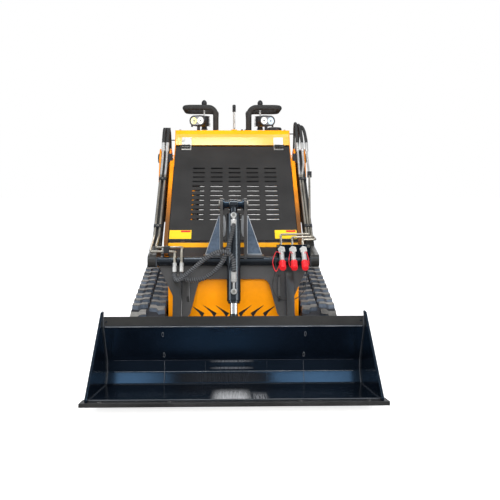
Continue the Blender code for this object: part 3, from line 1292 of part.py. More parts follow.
def arm_run(side, x):
    """First places of a pipe: its crimp on the tower side and its straight run over the arm."""
    rise = PIPE_RADIUS + PIPE_RISE
    return [at(side * x, *CRIMP_LOW), at(side * x, PIPE_HIGH_BACK, arm_top(PIPE_HIGH_BACK, rise)),
            at(side * x, PIPE_LOW_BACK, arm_top(PIPE_LOW_BACK, rise))]


def make_pipes():
    """Steel pipes along the arms: a pair on the left and three on the right."""
    left = []
    for x, end_x, back, up in zip(LEFT_PIPE_XS, LEFT_FITTING_XS, LEFT_RUN_BACKS, LEFT_RUN_UPS):
        route = arm_run(-1, x)
        route += [at(-x, back, up), at(-end_x, back, up)]
        route += [at(-end_x, LEFT_FITTING[0] + FITTING_LEAD, up), at(-end_x, *LEFT_FITTING)]
        left.append(pipe("pipe", rounded(route, PIPE_BEND, 3, closed=False), PIPE_RADIUS))
        left.append(crimp(-end_x, LEFT_FITTING, LEFT_CRIMP_END))
        left.append(crimp(-x, CRIMP_LOW, CRIMP_HIGH))
    finish(unite("arm_pipes_left", left + clamps(-1)), "steel", 40)
    right = []
    behind = COUPLER_START[0] + COUPLER_PLATE_THICKNESS + COUPLER_FIT
    for x, end_x in zip(RIGHT_PIPE_XS, reversed(COUPLER_XS)):
        step = RIGHT_PIPE_XS[0] - x
        turn_up = COUPLER_START[1] + RIGHT_TURN_RISE + step * 0.9
        turn_back = RIGHT_TURN_BACK + step
        route = arm_run(1, x)
        route += [at(x, turn_back, turn_up + RIGHT_TURN_FALL)]
        route += [at(end_x, turn_back - RIGHT_TURN_LEAD, turn_up + RIGHT_TURN_FALL)]
        route += [at(end_x, behind + RIGHT_TURN_LEAD, turn_up)]
        route += [at(end_x, behind + RIGHT_END_LEAD, COUPLER_START[1]), at(end_x, behind, COUPLER_START[1])]
        right.append(pipe("pipe", rounded(route, PIPE_BEND, 3, closed=False), PIPE_RADIUS))
        right.append(crimp(x, CRIMP_LOW, CRIMP_HIGH, CRIMP_SLIM))
    finish(unite("arm_pipes_right", right + clamps(1)), "steel", 40)


def make_couplers():
    """Plate on the cross tube with three quick couplers, and their dust caps on one lanyard."""
    low = CROSS_TUBE[1] + CROSS_TUBE_RADIUS + TOUCH_GAP
    front, up = COUPLER_START
    limits = (COUPLER_PLATE_INNER, ARM_INNER - TOUCH_GAP)
    outline = [(limits[0], low), (limits[1], low), (limits[1], COUPLER_PLATE_HIGH),
               (limits[0], COUPLER_PLATE_HIGH)]
    bank = [front_plate("coupler_plate", outline, front, COUPLER_PLATE_THICKNESS)]
    caps, cord = [], []
    for x in COUPLER_XS:
        inside = front + COUPLER_PLATE_THICKNESS / 2
        head_start = at(x, front - COUPLER_HEAD_THICKNESS, up)
        bank.append(rod("head", head_start, at(x, inside, up), COUPLER_HEAD, 6))
        start = along(COUPLER_START, COUPLER_DIRECTION, COUPLER_HEAD_THICKNESS * 0.8)
        end = along(COUPLER_START, COUPLER_DIRECTION, COUPLER_LENGTH)
        bank.append(rod("body", at(x, *start), at(x, *end), COUPLER_RADIUS, 16))
        cap_start = along(end, COUPLER_DIRECTION, TOUCH_GAP)
        cap_end = along(cap_start, COUPLER_DIRECTION, CAP_LENGTH)
        caps.append(rod("cap", at(x, *cap_start), at(x, *cap_end), CAP_RADIUS, 16, CAP_RADIUS * 0.85))
        middle = along(cap_start, COUPLER_DIRECTION, CAP_LENGTH * 0.7)
        if cord:
            cord.append((cord[-1] + at(x, *middle)) / 2 + Vector((0.0, 0.0, -LANYARD_SAG)))
        cord.append(at(x, *middle))
    finish(unite("coupler_plate", bank), "steel", 40)
    lanyard = pipe("lanyard", smooth_path(cord, LANYARD_SPACING), LANYARD_RADIUS)
    finish(unite("dust_caps", [*caps, lanyard]), "red", 40)


def make_tilt_hoses():
    """Two wrapped hoses from the left pipes to the tilt cylinder's ports."""
    way, _ = way_between(TILT_TOP_PIN, TILT_ROD_PIN)
    reach = TILT_BARREL_RADIUS + PORT_LENGTH + TOUCH_GAP + HOSE_RADIUS
    down, _ = way_between(LEFT_FITTING, LEFT_CRIMP_END)
    low_port = at(0.0, *along(TILT_TOP_PIN, way, TILT_PORT_LOW, -reach))
    high_port = at(0.0, *along(TILT_TOP_PIN, way, TILT_PORT_TOP, -reach))
    low_end = [low_port + Vector((0.0, 0.0, rise)) for rise in TILT_HOSE_LOW_END]
    high_end = [high_port - Vector((0.0, 0.0, TILT_HOSE_HIGH_END))]
    runs = (("tilt_hose_lower", LEFT_FITTING_XS[0], TILT_HOSE_LOW, low_end),
            ("tilt_hose_upper", LEFT_FITTING_XS[1], TILT_HOSE_HIGH, high_end))
    for name, start_x, middle, end in runs:
        route = [at(-start_x, *along(LEFT_CRIMP_END, down, lead)) for lead in (CRIMP_GAP, TILT_HOSE_LEAD)]
        route += [at(-x, back, up) for x, back, up in middle]
        finish(pipe(name, smooth_path(route + end, HOSE_SPACING), HOSE_RADIUS), "rubber", 60)


def make_lift_hoses():
    """Hose loops over the towers, held together by a clip."""
    way, _ = way_between(CRIMP_LOW, CRIMP_HIGH)
    block_back = TOWER_REAR - TOWER_WEB - PORT_BLOCK_DEPTH / 2
    clip_back, clip_up = LOOP_WAY[1]
    sets = (("left", -1, LEFT_PIPE_XS, LOOP_RADIUS, 0.0, 0.0),
            ("right", 1, RIGHT_PIPE_XS, LOOP_SLIM, LOOP_SLIM_LEAN, LOOP_SLIM_RISE))
    for word, side, xs, radius, lean, rise in sets:
        loops = []
        for x in xs:
            route = [at(side * x, *along(CRIMP_HIGH, way, lead)) for lead in (CRIMP_GAP, LOOP_LEAD)]
            for (back, up), share in zip(LOOP_WAY, LOOP_SHARES):
                route.append(at(side * (x + lean * share), back, up + rise * share))
            route += [at(side * x, block_back, up) for up in (LOOP_FALL, TOWER_WEB_HIGH + TOUCH_GAP)]
            loops.append(pipe("loop", smooth_path(route, HOSE_SPACING), radius))
        clip = box("clip", span(side, TOWER_SLOT_INNER + lean, TOWER_SLOT_OUTER + lean),
                   (clip_back - CLIP_LENGTH / 2, clip_back + CLIP_LENGTH / 2),
                   (clip_up + rise - HOSE_CLIP / 2, clip_up + rise + HOSE_CLIP / 2))
        finish(unite("lift_hoses_" + word, [*loops, clip]), "rubber", 60)


bpy.context.preferences.edit.use_global_undo = False
for old in list(bpy.data.objects):
    bpy.data.objects.remove(old)
PARTS = collection(PARTS_NAME)
SIDES = (("left", -1), ("right", 1))

bucket = make_bucket()
attachment = make_attachment()
make_arms()
make_front_frame()
make_tilt_pin()
make_tilt_cylinder()
make_lift_cylinders()
make_chassis()
make_hood()
make_covers()
make_towers()
make_insides()
make_station()
make_platform()
for word, side in SIDES:
    make_track(word, side)
make_pipes()
make_couplers()
make_tilt_hoses()
make_lift_hoses()
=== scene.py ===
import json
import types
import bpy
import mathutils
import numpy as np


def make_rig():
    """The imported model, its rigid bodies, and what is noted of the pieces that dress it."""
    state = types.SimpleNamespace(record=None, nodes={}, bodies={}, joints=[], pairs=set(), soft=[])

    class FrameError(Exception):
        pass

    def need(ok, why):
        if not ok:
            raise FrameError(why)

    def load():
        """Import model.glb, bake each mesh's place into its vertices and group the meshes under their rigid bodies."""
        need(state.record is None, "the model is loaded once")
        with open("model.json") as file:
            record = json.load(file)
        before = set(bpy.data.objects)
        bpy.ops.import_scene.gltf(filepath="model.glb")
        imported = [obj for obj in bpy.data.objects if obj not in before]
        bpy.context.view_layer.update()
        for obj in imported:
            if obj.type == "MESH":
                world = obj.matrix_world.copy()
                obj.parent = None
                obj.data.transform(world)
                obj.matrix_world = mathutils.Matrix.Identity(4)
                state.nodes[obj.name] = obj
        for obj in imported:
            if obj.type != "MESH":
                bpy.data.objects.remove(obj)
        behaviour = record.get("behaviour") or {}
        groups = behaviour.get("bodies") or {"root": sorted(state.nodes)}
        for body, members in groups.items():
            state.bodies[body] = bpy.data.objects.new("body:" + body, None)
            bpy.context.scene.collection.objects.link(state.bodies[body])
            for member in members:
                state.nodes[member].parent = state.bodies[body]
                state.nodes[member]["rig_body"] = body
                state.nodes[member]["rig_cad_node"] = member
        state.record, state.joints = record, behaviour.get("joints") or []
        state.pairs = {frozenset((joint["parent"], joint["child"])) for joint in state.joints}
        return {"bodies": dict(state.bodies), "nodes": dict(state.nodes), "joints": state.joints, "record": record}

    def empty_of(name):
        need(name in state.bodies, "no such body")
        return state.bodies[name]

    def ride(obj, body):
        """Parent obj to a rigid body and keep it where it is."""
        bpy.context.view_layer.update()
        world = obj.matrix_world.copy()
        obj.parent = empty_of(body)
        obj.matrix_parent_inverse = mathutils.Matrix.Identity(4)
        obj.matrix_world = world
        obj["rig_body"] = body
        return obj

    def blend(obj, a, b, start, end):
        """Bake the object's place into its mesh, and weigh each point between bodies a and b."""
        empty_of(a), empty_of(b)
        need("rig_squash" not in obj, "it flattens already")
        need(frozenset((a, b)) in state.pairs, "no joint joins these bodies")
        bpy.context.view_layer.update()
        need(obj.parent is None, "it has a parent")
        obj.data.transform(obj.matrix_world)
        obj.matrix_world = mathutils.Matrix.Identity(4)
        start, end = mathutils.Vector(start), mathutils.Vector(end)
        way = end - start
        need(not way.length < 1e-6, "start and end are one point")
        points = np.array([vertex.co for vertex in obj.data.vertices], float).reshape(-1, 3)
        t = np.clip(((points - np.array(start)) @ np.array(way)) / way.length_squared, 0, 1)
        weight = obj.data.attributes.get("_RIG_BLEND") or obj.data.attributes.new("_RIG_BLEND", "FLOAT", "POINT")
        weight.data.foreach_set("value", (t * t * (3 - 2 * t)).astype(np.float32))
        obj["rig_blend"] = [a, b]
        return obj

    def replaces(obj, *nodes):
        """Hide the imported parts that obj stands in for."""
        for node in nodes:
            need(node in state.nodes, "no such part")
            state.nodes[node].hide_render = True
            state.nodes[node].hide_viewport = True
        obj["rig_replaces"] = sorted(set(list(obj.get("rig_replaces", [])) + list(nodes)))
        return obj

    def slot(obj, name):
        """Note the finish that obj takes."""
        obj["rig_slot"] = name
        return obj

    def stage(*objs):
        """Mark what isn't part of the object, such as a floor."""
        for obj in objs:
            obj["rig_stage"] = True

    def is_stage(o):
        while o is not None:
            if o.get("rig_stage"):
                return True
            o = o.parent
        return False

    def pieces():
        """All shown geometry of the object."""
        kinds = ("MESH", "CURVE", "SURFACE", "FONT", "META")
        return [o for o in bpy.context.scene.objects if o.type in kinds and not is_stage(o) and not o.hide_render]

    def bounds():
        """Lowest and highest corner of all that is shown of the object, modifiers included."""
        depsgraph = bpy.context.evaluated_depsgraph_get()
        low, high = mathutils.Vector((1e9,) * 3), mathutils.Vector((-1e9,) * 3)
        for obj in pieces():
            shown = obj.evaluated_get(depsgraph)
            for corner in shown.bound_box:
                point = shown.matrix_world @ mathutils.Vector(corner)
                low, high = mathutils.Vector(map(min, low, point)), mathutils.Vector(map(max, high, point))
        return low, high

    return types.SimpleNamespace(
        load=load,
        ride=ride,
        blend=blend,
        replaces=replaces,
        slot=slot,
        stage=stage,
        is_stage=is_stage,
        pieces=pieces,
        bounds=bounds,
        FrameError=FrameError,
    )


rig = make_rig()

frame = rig.load()

import json
import logging
import math
from dataclasses import dataclass, field
from enum import Enum
from typing import Callable, Iterable, Iterator, Optional, Sequence, Union

import bmesh
import bpy
from mathutils import Matrix, Vector

LOG = logging.getLogger("loader")
HALF_LENGTH = 1.205
SIDES = (("left", -1.0), ("right", 1.0))
TILT_PINS = ((0.764, 0.771), (0.6, 0.25))
LIFT_PINS = ((1.74, 0.72), (1.36, 0.74))
ARM_PIVOT = (1.62, 1.01)
Place = tuple[float, float]
Number = Union[int, float]
ACROSS = Vector((1.0, 0.0, 0.0))
UP = Vector((0.0, 0.0, 1.0))
FORWARD = Vector((0.0, -1.0, 0.0))


def at(x: float, back: float, up: float) -> Vector:
    """World point at a distance across, behind the cutting edge and over the ground."""
    return Vector((x, back - HALF_LENGTH, up))


def along(place: Place, way: Place, distance: float, off: float = 0.0) -> Place:
    """Side-view point at a distance along a way from a place, and off to its left."""
    return (place[0] + way[0] * distance - way[1] * off, place[1] + way[1] * distance + way[0] * off)


def way_between(start: Place, end: Place) -> tuple[Place, float]:
    """Unit way and distance between two side-view places."""
    length = math.dist(start, end)
    return ((end[0] - start[0]) / length, (end[1] - start[1]) / length), length


def circle(count: int, radius: float = 1.0, start: float = 0.0) -> list[Place]:
    """Places round a circle, from a start angle in radians."""
    angles = [start + 2 * math.pi * k / count for k in range(count)]
    return [(radius * math.cos(angle), radius * math.sin(angle)) for angle in angles]


def oblong(low_x: float, high_x: float, low_y: float, high_y: float) -> list[Place]:
    """Corners of an upright rectangle."""
    return [(low_x, low_y), (high_x, low_y), (high_x, high_y), (low_x, high_y)]


def mirrored(half: Sequence[Place], length: float) -> list[Place]:
    """Profile of radius and distance pairs whose second half mirrors the first over a length."""
    return [*half, *((radius, length - distance) for radius, distance in reversed(half))]


def frame_of(*columns: Sequence[float]) -> Matrix:
    """Frame from its three axes and its origin."""
    return Matrix((*zip(*columns), (0.0, 0.0, 0.0, 1.0)))


def new_object(name: str, data: bpy.types.ID) -> bpy.types.Object:
    """Object of some data, linked to the scene."""
    made = bpy.data.objects.new(name, data)
    bpy.context.scene.collection.objects.link(made)
    return made


def applied(source: bpy.types.Object) -> bpy.types.Mesh:
    """Mesh of an object with its modifiers applied."""
    return bpy.data.meshes.new_from_object(source.evaluated_get(bpy.context.evaluated_depsgraph_get()))


def frames(points: Sequence[Vector]) -> Iterator[tuple[Vector, Vector, Vector, float]]:
    """Each point of a path, with two directions across it that don't twist and the distance so far."""
    normal = (points[1] - points[0]).normalized().orthogonal().normalized()
    distance = 0.0
    for i, point in enumerate(points):
        way = (points[min(i + 1, len(points) - 1)] - points[max(i - 1, 0)]).normalized()
        normal = (normal - way * normal.dot(way)).normalized()
        if i:
            distance += (point - points[i - 1]).length
        yield point, normal, way.cross(normal), distance


def rounded(points: Sequence, radius: float, steps: int = 6, closed: bool = False) -> list[Vector]:
    """Replace each corner of a line by an arc.

    Args:
        points: 2D or 3D points of the line.
        radius: Radius of the arcs, cut down where a side is short.
        steps: Segments of each arc.
        closed: Whether the last point joins the first.

    Returns:
        The points of the rounded line.
    """
    made: list[Vector] = []
    count = len(points)
    for i, point in enumerate(points):
        here = Vector(point)
        if not closed and i in (0, count - 1):
            made.append(here)
            continue
        before = Vector(points[i - 1]) - here
        after = Vector(points[(i + 1) % count]) - here
        angle = before.angle(after)
        if angle > math.radians(176):
            made.append(here)
            continue
        reach = min(radius / math.tan(angle / 2), 0.45 * before.length, 0.45 * after.length)
        bend = reach * math.tan(angle / 2)
        centre = here + (before.normalized() + after.normalized()).normalized() * (bend / math.sin(angle / 2))
        a = here + before.normalized() * reach - centre
        b = here + after.normalized() * reach - centre
        sweep = a.angle(b)
        for k in range(steps + 1):
            t = k / steps
            made.append(centre + (a * math.sin((1 - t) * sweep) + b * math.sin(t * sweep)) / math.sin(sweep))
    return made


def smooth_path(route: Sequence[Vector], spacing: float) -> list[Vector]:
    """Points of a smooth curve through a route's own points."""
    ends = [route[0] * 2 - route[1], *route, route[-1] * 2 - route[-2]]
    made = [route[0]]
    for a, b, c, d in zip(ends, ends[1:], ends[2:], ends[3:]):
        count = max(1, round((c - b).length / spacing))
        for k in range(1, count + 1):
            t = k / count
            made.append(0.5 * ((2 * b) + (c - a) * t + (2 * a - 5 * b + 4 * c - d) * t * t
                               + (3 * b - a - 3 * c + d) * t ** 3))
    return made


# Shader graphs


class Sock:
    """A node's output socket, which takes part in sums and products."""

    def __init__(self, graph: "Graph", socket: bpy.types.NodeSocket) -> None:
        """Keep the graph and the socket."""
        self.graph = graph
        self.socket = socket

    def __add__(self, other: "Term") -> "Sock":
        """Sum."""
        return self.graph.math("ADD", self, other)

    def __sub__(self, other: "Term") -> "Sock":
        """Difference."""
        return self.graph.math("SUBTRACT", self, other)

    def __mul__(self, other: "Term") -> "Sock":
        """Product."""
        return self.graph.math("MULTIPLY", self, other)

    def __truediv__(self, other: "Term") -> "Sock":
        """Quotient."""
        return self.graph.math("DIVIDE", self, other)

    def __rsub__(self, other: Number) -> "Sock":
        """A number less this value."""
        return self.graph.math("SUBTRACT", other, self)

    def __rtruediv__(self, other: Number) -> "Sock":
        """A number over this value."""
        return self.graph.math("DIVIDE", other, self)

    __radd__ = __add__
    __rmul__ = __mul__


Term = Union[Sock, Number]


class Graph:
    """Node tree of a material or a world."""

    def __init__(self, tree: bpy.types.NodeTree) -> None:
        """Start from an empty tree."""
        self.tree = tree
        tree.nodes.clear()

    def node(self, kind: str, inputs: Optional[dict] = None, **settings: object) -> bpy.types.Node:
        """Make any node.

        Args:
            kind: Blender's node type.
            inputs: Values or Socks for its inputs, by name or number.
            settings: Its properties.

        Returns:
            The node.
        """
        made = self.tree.nodes.new(kind)
        for name, value in settings.items():
            setattr(made, name, value)
        for name, value in (inputs or {}).items():
            if isinstance(value, Sock):
                self.tree.links.new(value.socket, made.inputs[name])
            else:
                made.inputs[name].default_value = value
        return made

    def out(self, node: bpy.types.Node, name: Union[int, str] = 0) -> Sock:
        """One output of a node."""
        return Sock(self, node.outputs[name])

    def math(self, operation: str, a: Term, b: Term = 0.0, clamp: bool = False) -> Sock:
        """Math node."""
        return self.out(self.node("ShaderNodeMath", {0: a, 1: b}, operation=operation, use_clamp=clamp))

    def scaled(self, vector: Sock, by: Sequence[float]) -> Sock:
        """Vector Math product of a vector and three numbers."""
        return self.out(self.node("ShaderNodeVectorMath", {0: vector, 1: tuple(by)}, operation="MULTIPLY"))

    def mix(self, factor: Term, a: Sequence[float], b: Sequence[float]) -> Sock:
        """Mix of two colours, either of which may be a Sock."""
        made = self.node("ShaderNodeMix", {0: factor}, data_type="RGBA")
        for index, value in ((6, a), (7, b)):
            if isinstance(value, Sock):
                self.tree.links.new(value.socket, made.inputs[index])
            else:
                made.inputs[index].default_value = (*value[:3], 1.0)
        return self.out(made, 2)

    def noise(self, vector: Sock, scale: float, detail: float = 3.0, rough: float = 0.55) -> Sock:
        """Noise value."""
        inputs = {"Vector": vector, "Scale": scale, "Detail": detail, "Roughness": rough}
        return self.out(self.node("ShaderNodeTexNoise", inputs))

    def ramp(self, value: Sock, low: float, high: float) -> Sock:
        """Smooth step of a value between two limits."""
        made = self.node("ShaderNodeMapRange", {0: value, 1: low, 2: high}, interpolation_type="SMOOTHSTEP")
        return self.out(made)


class Surface(Enum):
    """Kinds of fine relief."""

    PEEL = "sprayed paint"
    TEXTURED = "coarse powder coat"
    BRUSHED = "drawn metal"
    CAST = "cast or moulded"
    SCUFFED = "rubber"


class Look:
    """Material that is made once and then shared."""

    name: str
    slot: str

    def build(self) -> bpy.types.Material:
        """Make the material, or find it when it was made before."""
        made = bpy.data.materials.get(self.name)
        if made is None:
            made = bpy.data.materials.new(self.name)
            made.use_nodes = True
            g = Graph(made.node_tree)
            shader = self.shader(g, g.out(g.node("ShaderNodeTexCoord"), "Object"))
            g.node("ShaderNodeOutputMaterial", {"Surface": g.out(shader)})
        return made

    def shader(self, g: Graph, place: Sock) -> bpy.types.Node:
        """Shader node of the material at the object's places."""
        raise NotImplementedError


@dataclass(frozen=True)
class Finish(Look):
    """Paint, metal or rubber.

    Colours are linear. Depths are metres, and scales are features per metre.
    """

    name: str
    colour: tuple[float, float, float]
    roughness: float
    surface: Surface
    slot: str
    metallic: float = 0.0
    coat: float = 0.0
    coat_roughness: float = 0.05
    specular: float = 0.5
    tint: tuple[float, float, float] = (1.0, 1.0, 1.0)
    mottle: float = 0.1
    smudge: float = 0.1
    relief: float = 1.0
    wear: float = 0.0
    wear_colour: tuple[float, float, float] = (0.35, 0.35, 0.36)
    painted_shade: Optional[tuple[float, float]] = None
    painted_shade_colour: tuple[float, float, float] = (0.165, 0.066, 0.016)

    def shader(self, g: Graph, place: Sock) -> bpy.types.Node:
        """Mottled colour and roughness, with a painted shade low down and edge wear where the finish has them."""
        broad = g.noise(place, 7.0, 2.0)
        fine = g.noise(place, 90.0, 4.0)
        shade = tuple(c * (1.0 - self.mottle * 2.2) for c in self.colour)
        bright = tuple(min(1.0, c * (1.0 + self.mottle)) for c in self.colour)
        colour = g.mix(g.ramp(broad * 0.65 + fine * 0.35, 0.32, 0.68), shade, bright)
        rough = g.math("ADD", (fine * 0.5 + broad * 0.5 - 0.5) * (self.smudge * 2.0), self.roughness,
                       clamp=True)
        # Painted shade: the colour turns brown low down and fades out upwards.
        if self.painted_shade:
            height = g.out(g.node("ShaderNodeSeparateXYZ", {0: place}), "Z") + (broad - 0.5) * 0.1
            colour = g.mix(g.ramp(height, *self.painted_shade), self.painted_shade_colour, colour)
        metal: Term = self.metallic
        if self.wear > 0.0:
            edge = self._edges(g, place)
            colour = g.mix(edge, colour, self.wear_colour)
            metal = edge * (0.8 - self.metallic) + self.metallic
        return g.node("ShaderNodeBsdfPrincipled", {
            "Base Color": colour, "Roughness": rough, "Metallic": metal, "Coat Weight": self.coat,
            "Coat Roughness": self.coat_roughness, "Specular IOR Level": self.specular,
            "Specular Tint": (*self.tint, 1.0), "Normal": self._relief(g, place),
        })

    def _edges(self, g: Graph, place: Sock) -> Sock:
        """Worn bare metal where the surface turns a sharp corner."""
        soft = g.node("ShaderNodeBevel", {"Radius": 0.002}, samples=4)
        flat = g.node("ShaderNodeNewGeometry")
        same = g.node("ShaderNodeVectorMath", {0: g.out(soft), 1: g.out(flat, "Normal")},
                      operation="DOT_PRODUCT")
        turn = 1.0 - g.out(same, "Value")
        speck = g.noise(place, 160.0, 5.0, 0.7)
        return g.ramp(turn * (speck * 2.0), 0.1, 0.3) * self.wear

    def _relief(self, g: Graph, place: Sock) -> Sock:
        """Bump of the finish's fine surface."""
        scales = {
            Surface.PEEL: ((1, 1, 1), 320.0, 0.00003, 6.0, 0.0006),
            Surface.TEXTURED: ((1, 1, 1), 900.0, 0.00012, 9.0, 0.0003),
            Surface.BRUSHED: ((1, 14, 14), 260.0, 0.00003, 40.0, 0.00008),
            Surface.CAST: ((1, 1, 1), 620.0, 0.0001, 45.0, 0.0002),
            Surface.SCUFFED: ((1, 1, 1), 420.0, 0.00018, 60.0, 0.0006),
        }
        stretch, scale, depth, wave_scale, wave_depth = scales[self.surface]
        wave = g.noise(place, wave_scale, 1.0)
        first = g.node("ShaderNodeBump", {"Strength": 1.0, "Distance": wave_depth * self.relief,
                                          "Height": wave})
        grain = g.noise(g.scaled(place, stretch), scale, 2.0)
        inputs = {"Strength": 1.0, "Distance": depth * self.relief, "Height": grain, "Normal": g.out(first)}
        return g.out(g.node("ShaderNodeBump", inputs))


@dataclass(frozen=True)
class Glow(Look):
    """Finish that gives light."""

    name: str
    colour: tuple[float, float, float]
    strength: float = 0.0
    slot: str = "steel"

    def shader(self, g: Graph, place: Sock) -> bpy.types.Node:
        """Glow behind a finely rippled surface."""
        prism = g.noise(place, 300.0, 1.0)
        bump = g.out(g.node("ShaderNodeBump", {"Strength": 0.3, "Distance": 0.0006, "Height": prism}))
        colour = g.mix(g.ramp(prism, 0.4, 0.6), tuple(c * 0.78 for c in self.colour), self.colour)
        return g.node("ShaderNodeBsdfPrincipled", {
            "Base Color": colour, "Roughness": 0.12, "Coat Weight": 0.6,
            "Emission Color": colour, "Emission Strength": self.strength, "Normal": bump,
        })


@dataclass(frozen=True)
class PaintedReflection(Look):
    """Painted reflection in one patch of a plate, in vertical streaks: a bright one is a painted glare, a dark one a
    painted dark reflection.
    """

    name: str
    middle: float
    half: float
    near: float
    far: float
    comb: float
    colour: tuple[float, float, float] = (0.66, 0.67, 0.69)
    slot: str = "steel"
    shine: float = 0.5

    def shader(self, g: Graph, place: Sock) -> bpy.types.Node:
        """Painted reflection inside the patch, and nothing outside it."""
        parts = g.node("ShaderNodeSeparateXYZ", {0: place})
        aside = g.math("ABSOLUTE", g.out(parts, "X") - self.middle)
        across = 1.0 - g.ramp(aside, self.half * 0.35, self.half)
        ahead = 1.0 - g.ramp(g.out(parts, "Y"), self.near, self.far)
        streak = g.ramp(g.noise(g.scaled(place, (1.0, 0.03, 0.03)), 260.0, 3.0, 0.7), 0.36, 0.6)
        # Mask of the painted reflection, streaked across the patch.
        reflection_mask = across * ahead * (streak * self.comb + (1.0 - self.comb))
        # Shader of the painted reflection.
        bare = g.node("ShaderNodeBsdfPrincipled", {"Base Color": (*self.colour, 1.0), "Roughness": 0.35,
                                                   "Metallic": 0.2, "Specular IOR Level": self.shine})
        clear = g.node("ShaderNodeBsdfTransparent")
        return g.node("ShaderNodeMixShader", {0: reflection_mask, 1: g.out(clear), 2: g.out(bare)})


# Pale blue tint of the black paints' reflections: a painted sky reflection.
SKY_TINT = (0.4, 0.68, 1.0)
ORANGE = Finish("orange_paint", (1.0, 0.335, 0.002), 0.36, Surface.PEEL, "body_orange", coat=0.1,
                specular=0.3, mottle=0.04)
# Side panels and towers turn brown below about 0.66 m, fading out by 0.92 m: a painted shade.
FLANK = Finish("flank_paint", (0.95, 0.3, 0.002), 0.36, Surface.PEEL, "body_orange", coat=0.1, specular=0.3,
               mottle=0.05, painted_shade=(0.66, 0.92))
# The band is paler and glossier than the deck paint on the same folded sheet: partly its yellow paint, partly a
# painted sheen.
BAND = Finish("yellow_band_paint", (0.86, 0.4, 0.03), 0.34, Surface.PEEL, "body_orange", coat=0.85,
              coat_roughness=0.16, mottle=0.02, smudge=0.05, relief=0.12)
TOP = Finish("deck_paint", (0.96, 0.4, 0.0015), 0.42, Surface.PEEL, "body_orange", specular=0.15, mottle=0.04,
             relief=0.4)
STRIP = Finish("yellow_strip_paint", (0.9, 0.42, 0.01), 0.34, Surface.PEEL, "body_orange", coat=0.2,
               mottle=0.04)
GREY = Finish("charcoal_coat", (0.0262, 0.0252, 0.0245), 0.5, Surface.TEXTURED, "frame_grey", mottle=0.1,
              specular=0.3)
APRON = Finish("apron_grey_paint", (0.044, 0.0428, 0.0425), 0.36, Surface.PEEL, "frame_grey", coat=0.15,
               mottle=0.1)
BOOM = Finish("arm_paint", (0.022, 0.021, 0.02), 0.4, Surface.PEEL, "frame_grey", coat=0.1, mottle=0.15)
BLACK = Finish("gloss_black_paint", (0.004, 0.0055, 0.0085), 0.15, Surface.PEEL, "gloss_black", specular=0.7,
               tint=SKY_TINT, coat=0.1, coat_roughness=0.05, mottle=0.15, smudge=0.08, relief=0.8)
# A paler blue tint of its reflections: a painted sky reflection.
TUBE_BLACK = Finish("tube_black_paint", (0.0085, 0.0095, 0.0115), 0.19, Surface.PEEL, "gloss_black",
                    specular=0.75, tint=(0.74, 0.87, 1.0), coat=0.1, mottle=0.15, smudge=0.1, relief=0.7)
WORN_BLACK = Finish("bucket_paint", (0.003, 0.0048, 0.0085), 0.17, Surface.PEEL, "gloss_black", specular=0.7,
                    tint=SKY_TINT, mottle=0.15, smudge=0.1, relief=0.9, wear=0.5)
EDGE_BLACK = Finish("edge_paint", (0.015, 0.015, 0.015), 0.36, Surface.CAST, "gloss_black", coat=0.1,
                    mottle=0.2, smudge=0.12, wear=0.6)
LIP = Finish("lip_paint", (0.0165, 0.0163, 0.0158), 0.42, Surface.PEEL, "gloss_black", mottle=0.16,
             specular=0.4)
# Blue-grey of the mast gussets: a painted sky reflection.
GUSSET_SKY_REFLECTION = Finish("blue_grey_steel", (0.1, 0.138, 0.196), 0.34, Surface.PEEL, "frame_grey", metallic=0.45,
                mottle=0.25, smudge=0.16)
WELD = Finish("painted_weld", (0.045, 0.05, 0.058), 0.22, Surface.CAST, "gloss_black", coat=0.8, relief=2.0)
# Bright bare weld metal; its thin lines and dashes along bends and bead tops are painted highlights.
BARE_WELD_AND_GLINT = Finish("bare_weld", (0.62, 0.64, 0.67), 0.3, Surface.CAST, "steel", metallic=0.7)
STEEL = Finish("zinc_steel", (0.55, 0.52, 0.46), 0.3, Surface.BRUSHED, "steel", metallic=1.0, mottle=0.12)
PIPE = Finish("yellow_zinc_pipe", (0.6, 0.55, 0.46), 0.3, Surface.PEEL, "steel", metallic=0.9, mottle=0.14,
              relief=0.3)
BRIGHT = Finish("bright_fitting", (0.62, 0.62, 0.61), 0.34, Surface.PEEL, "steel", metallic=0.45, mottle=0.12,
                relief=0.3)
LEAF = Finish("hinge_leaf", (0.6, 0.585, 0.55), 0.4, Surface.CAST, "steel", metallic=0.5, mottle=0.3)
CHROME = Finish("chrome_rod", (0.88, 0.88, 0.89), 0.08, Surface.PEEL, "chrome", metallic=1.0, mottle=0.02,
                smudge=0.03, relief=0.1)
CASTING = Finish("engine_casting", (0.34, 0.34, 0.35), 0.45, Surface.CAST, "steel", metallic=0.7)
RUBBER = Finish("track_rubber", (0.065, 0.063, 0.06), 0.6, Surface.SCUFFED, "track_rubber", mottle=0.22,
                smudge=0.1, specular=0.5)
# Lug sides in bluish rubber: a painted sky sheen.
TREAD = Finish("lug_side", (0.098, 0.121, 0.158), 0.38, Surface.SCUFFED, "track_rubber", mottle=0.3,
               smudge=0.16, specular=0.5)
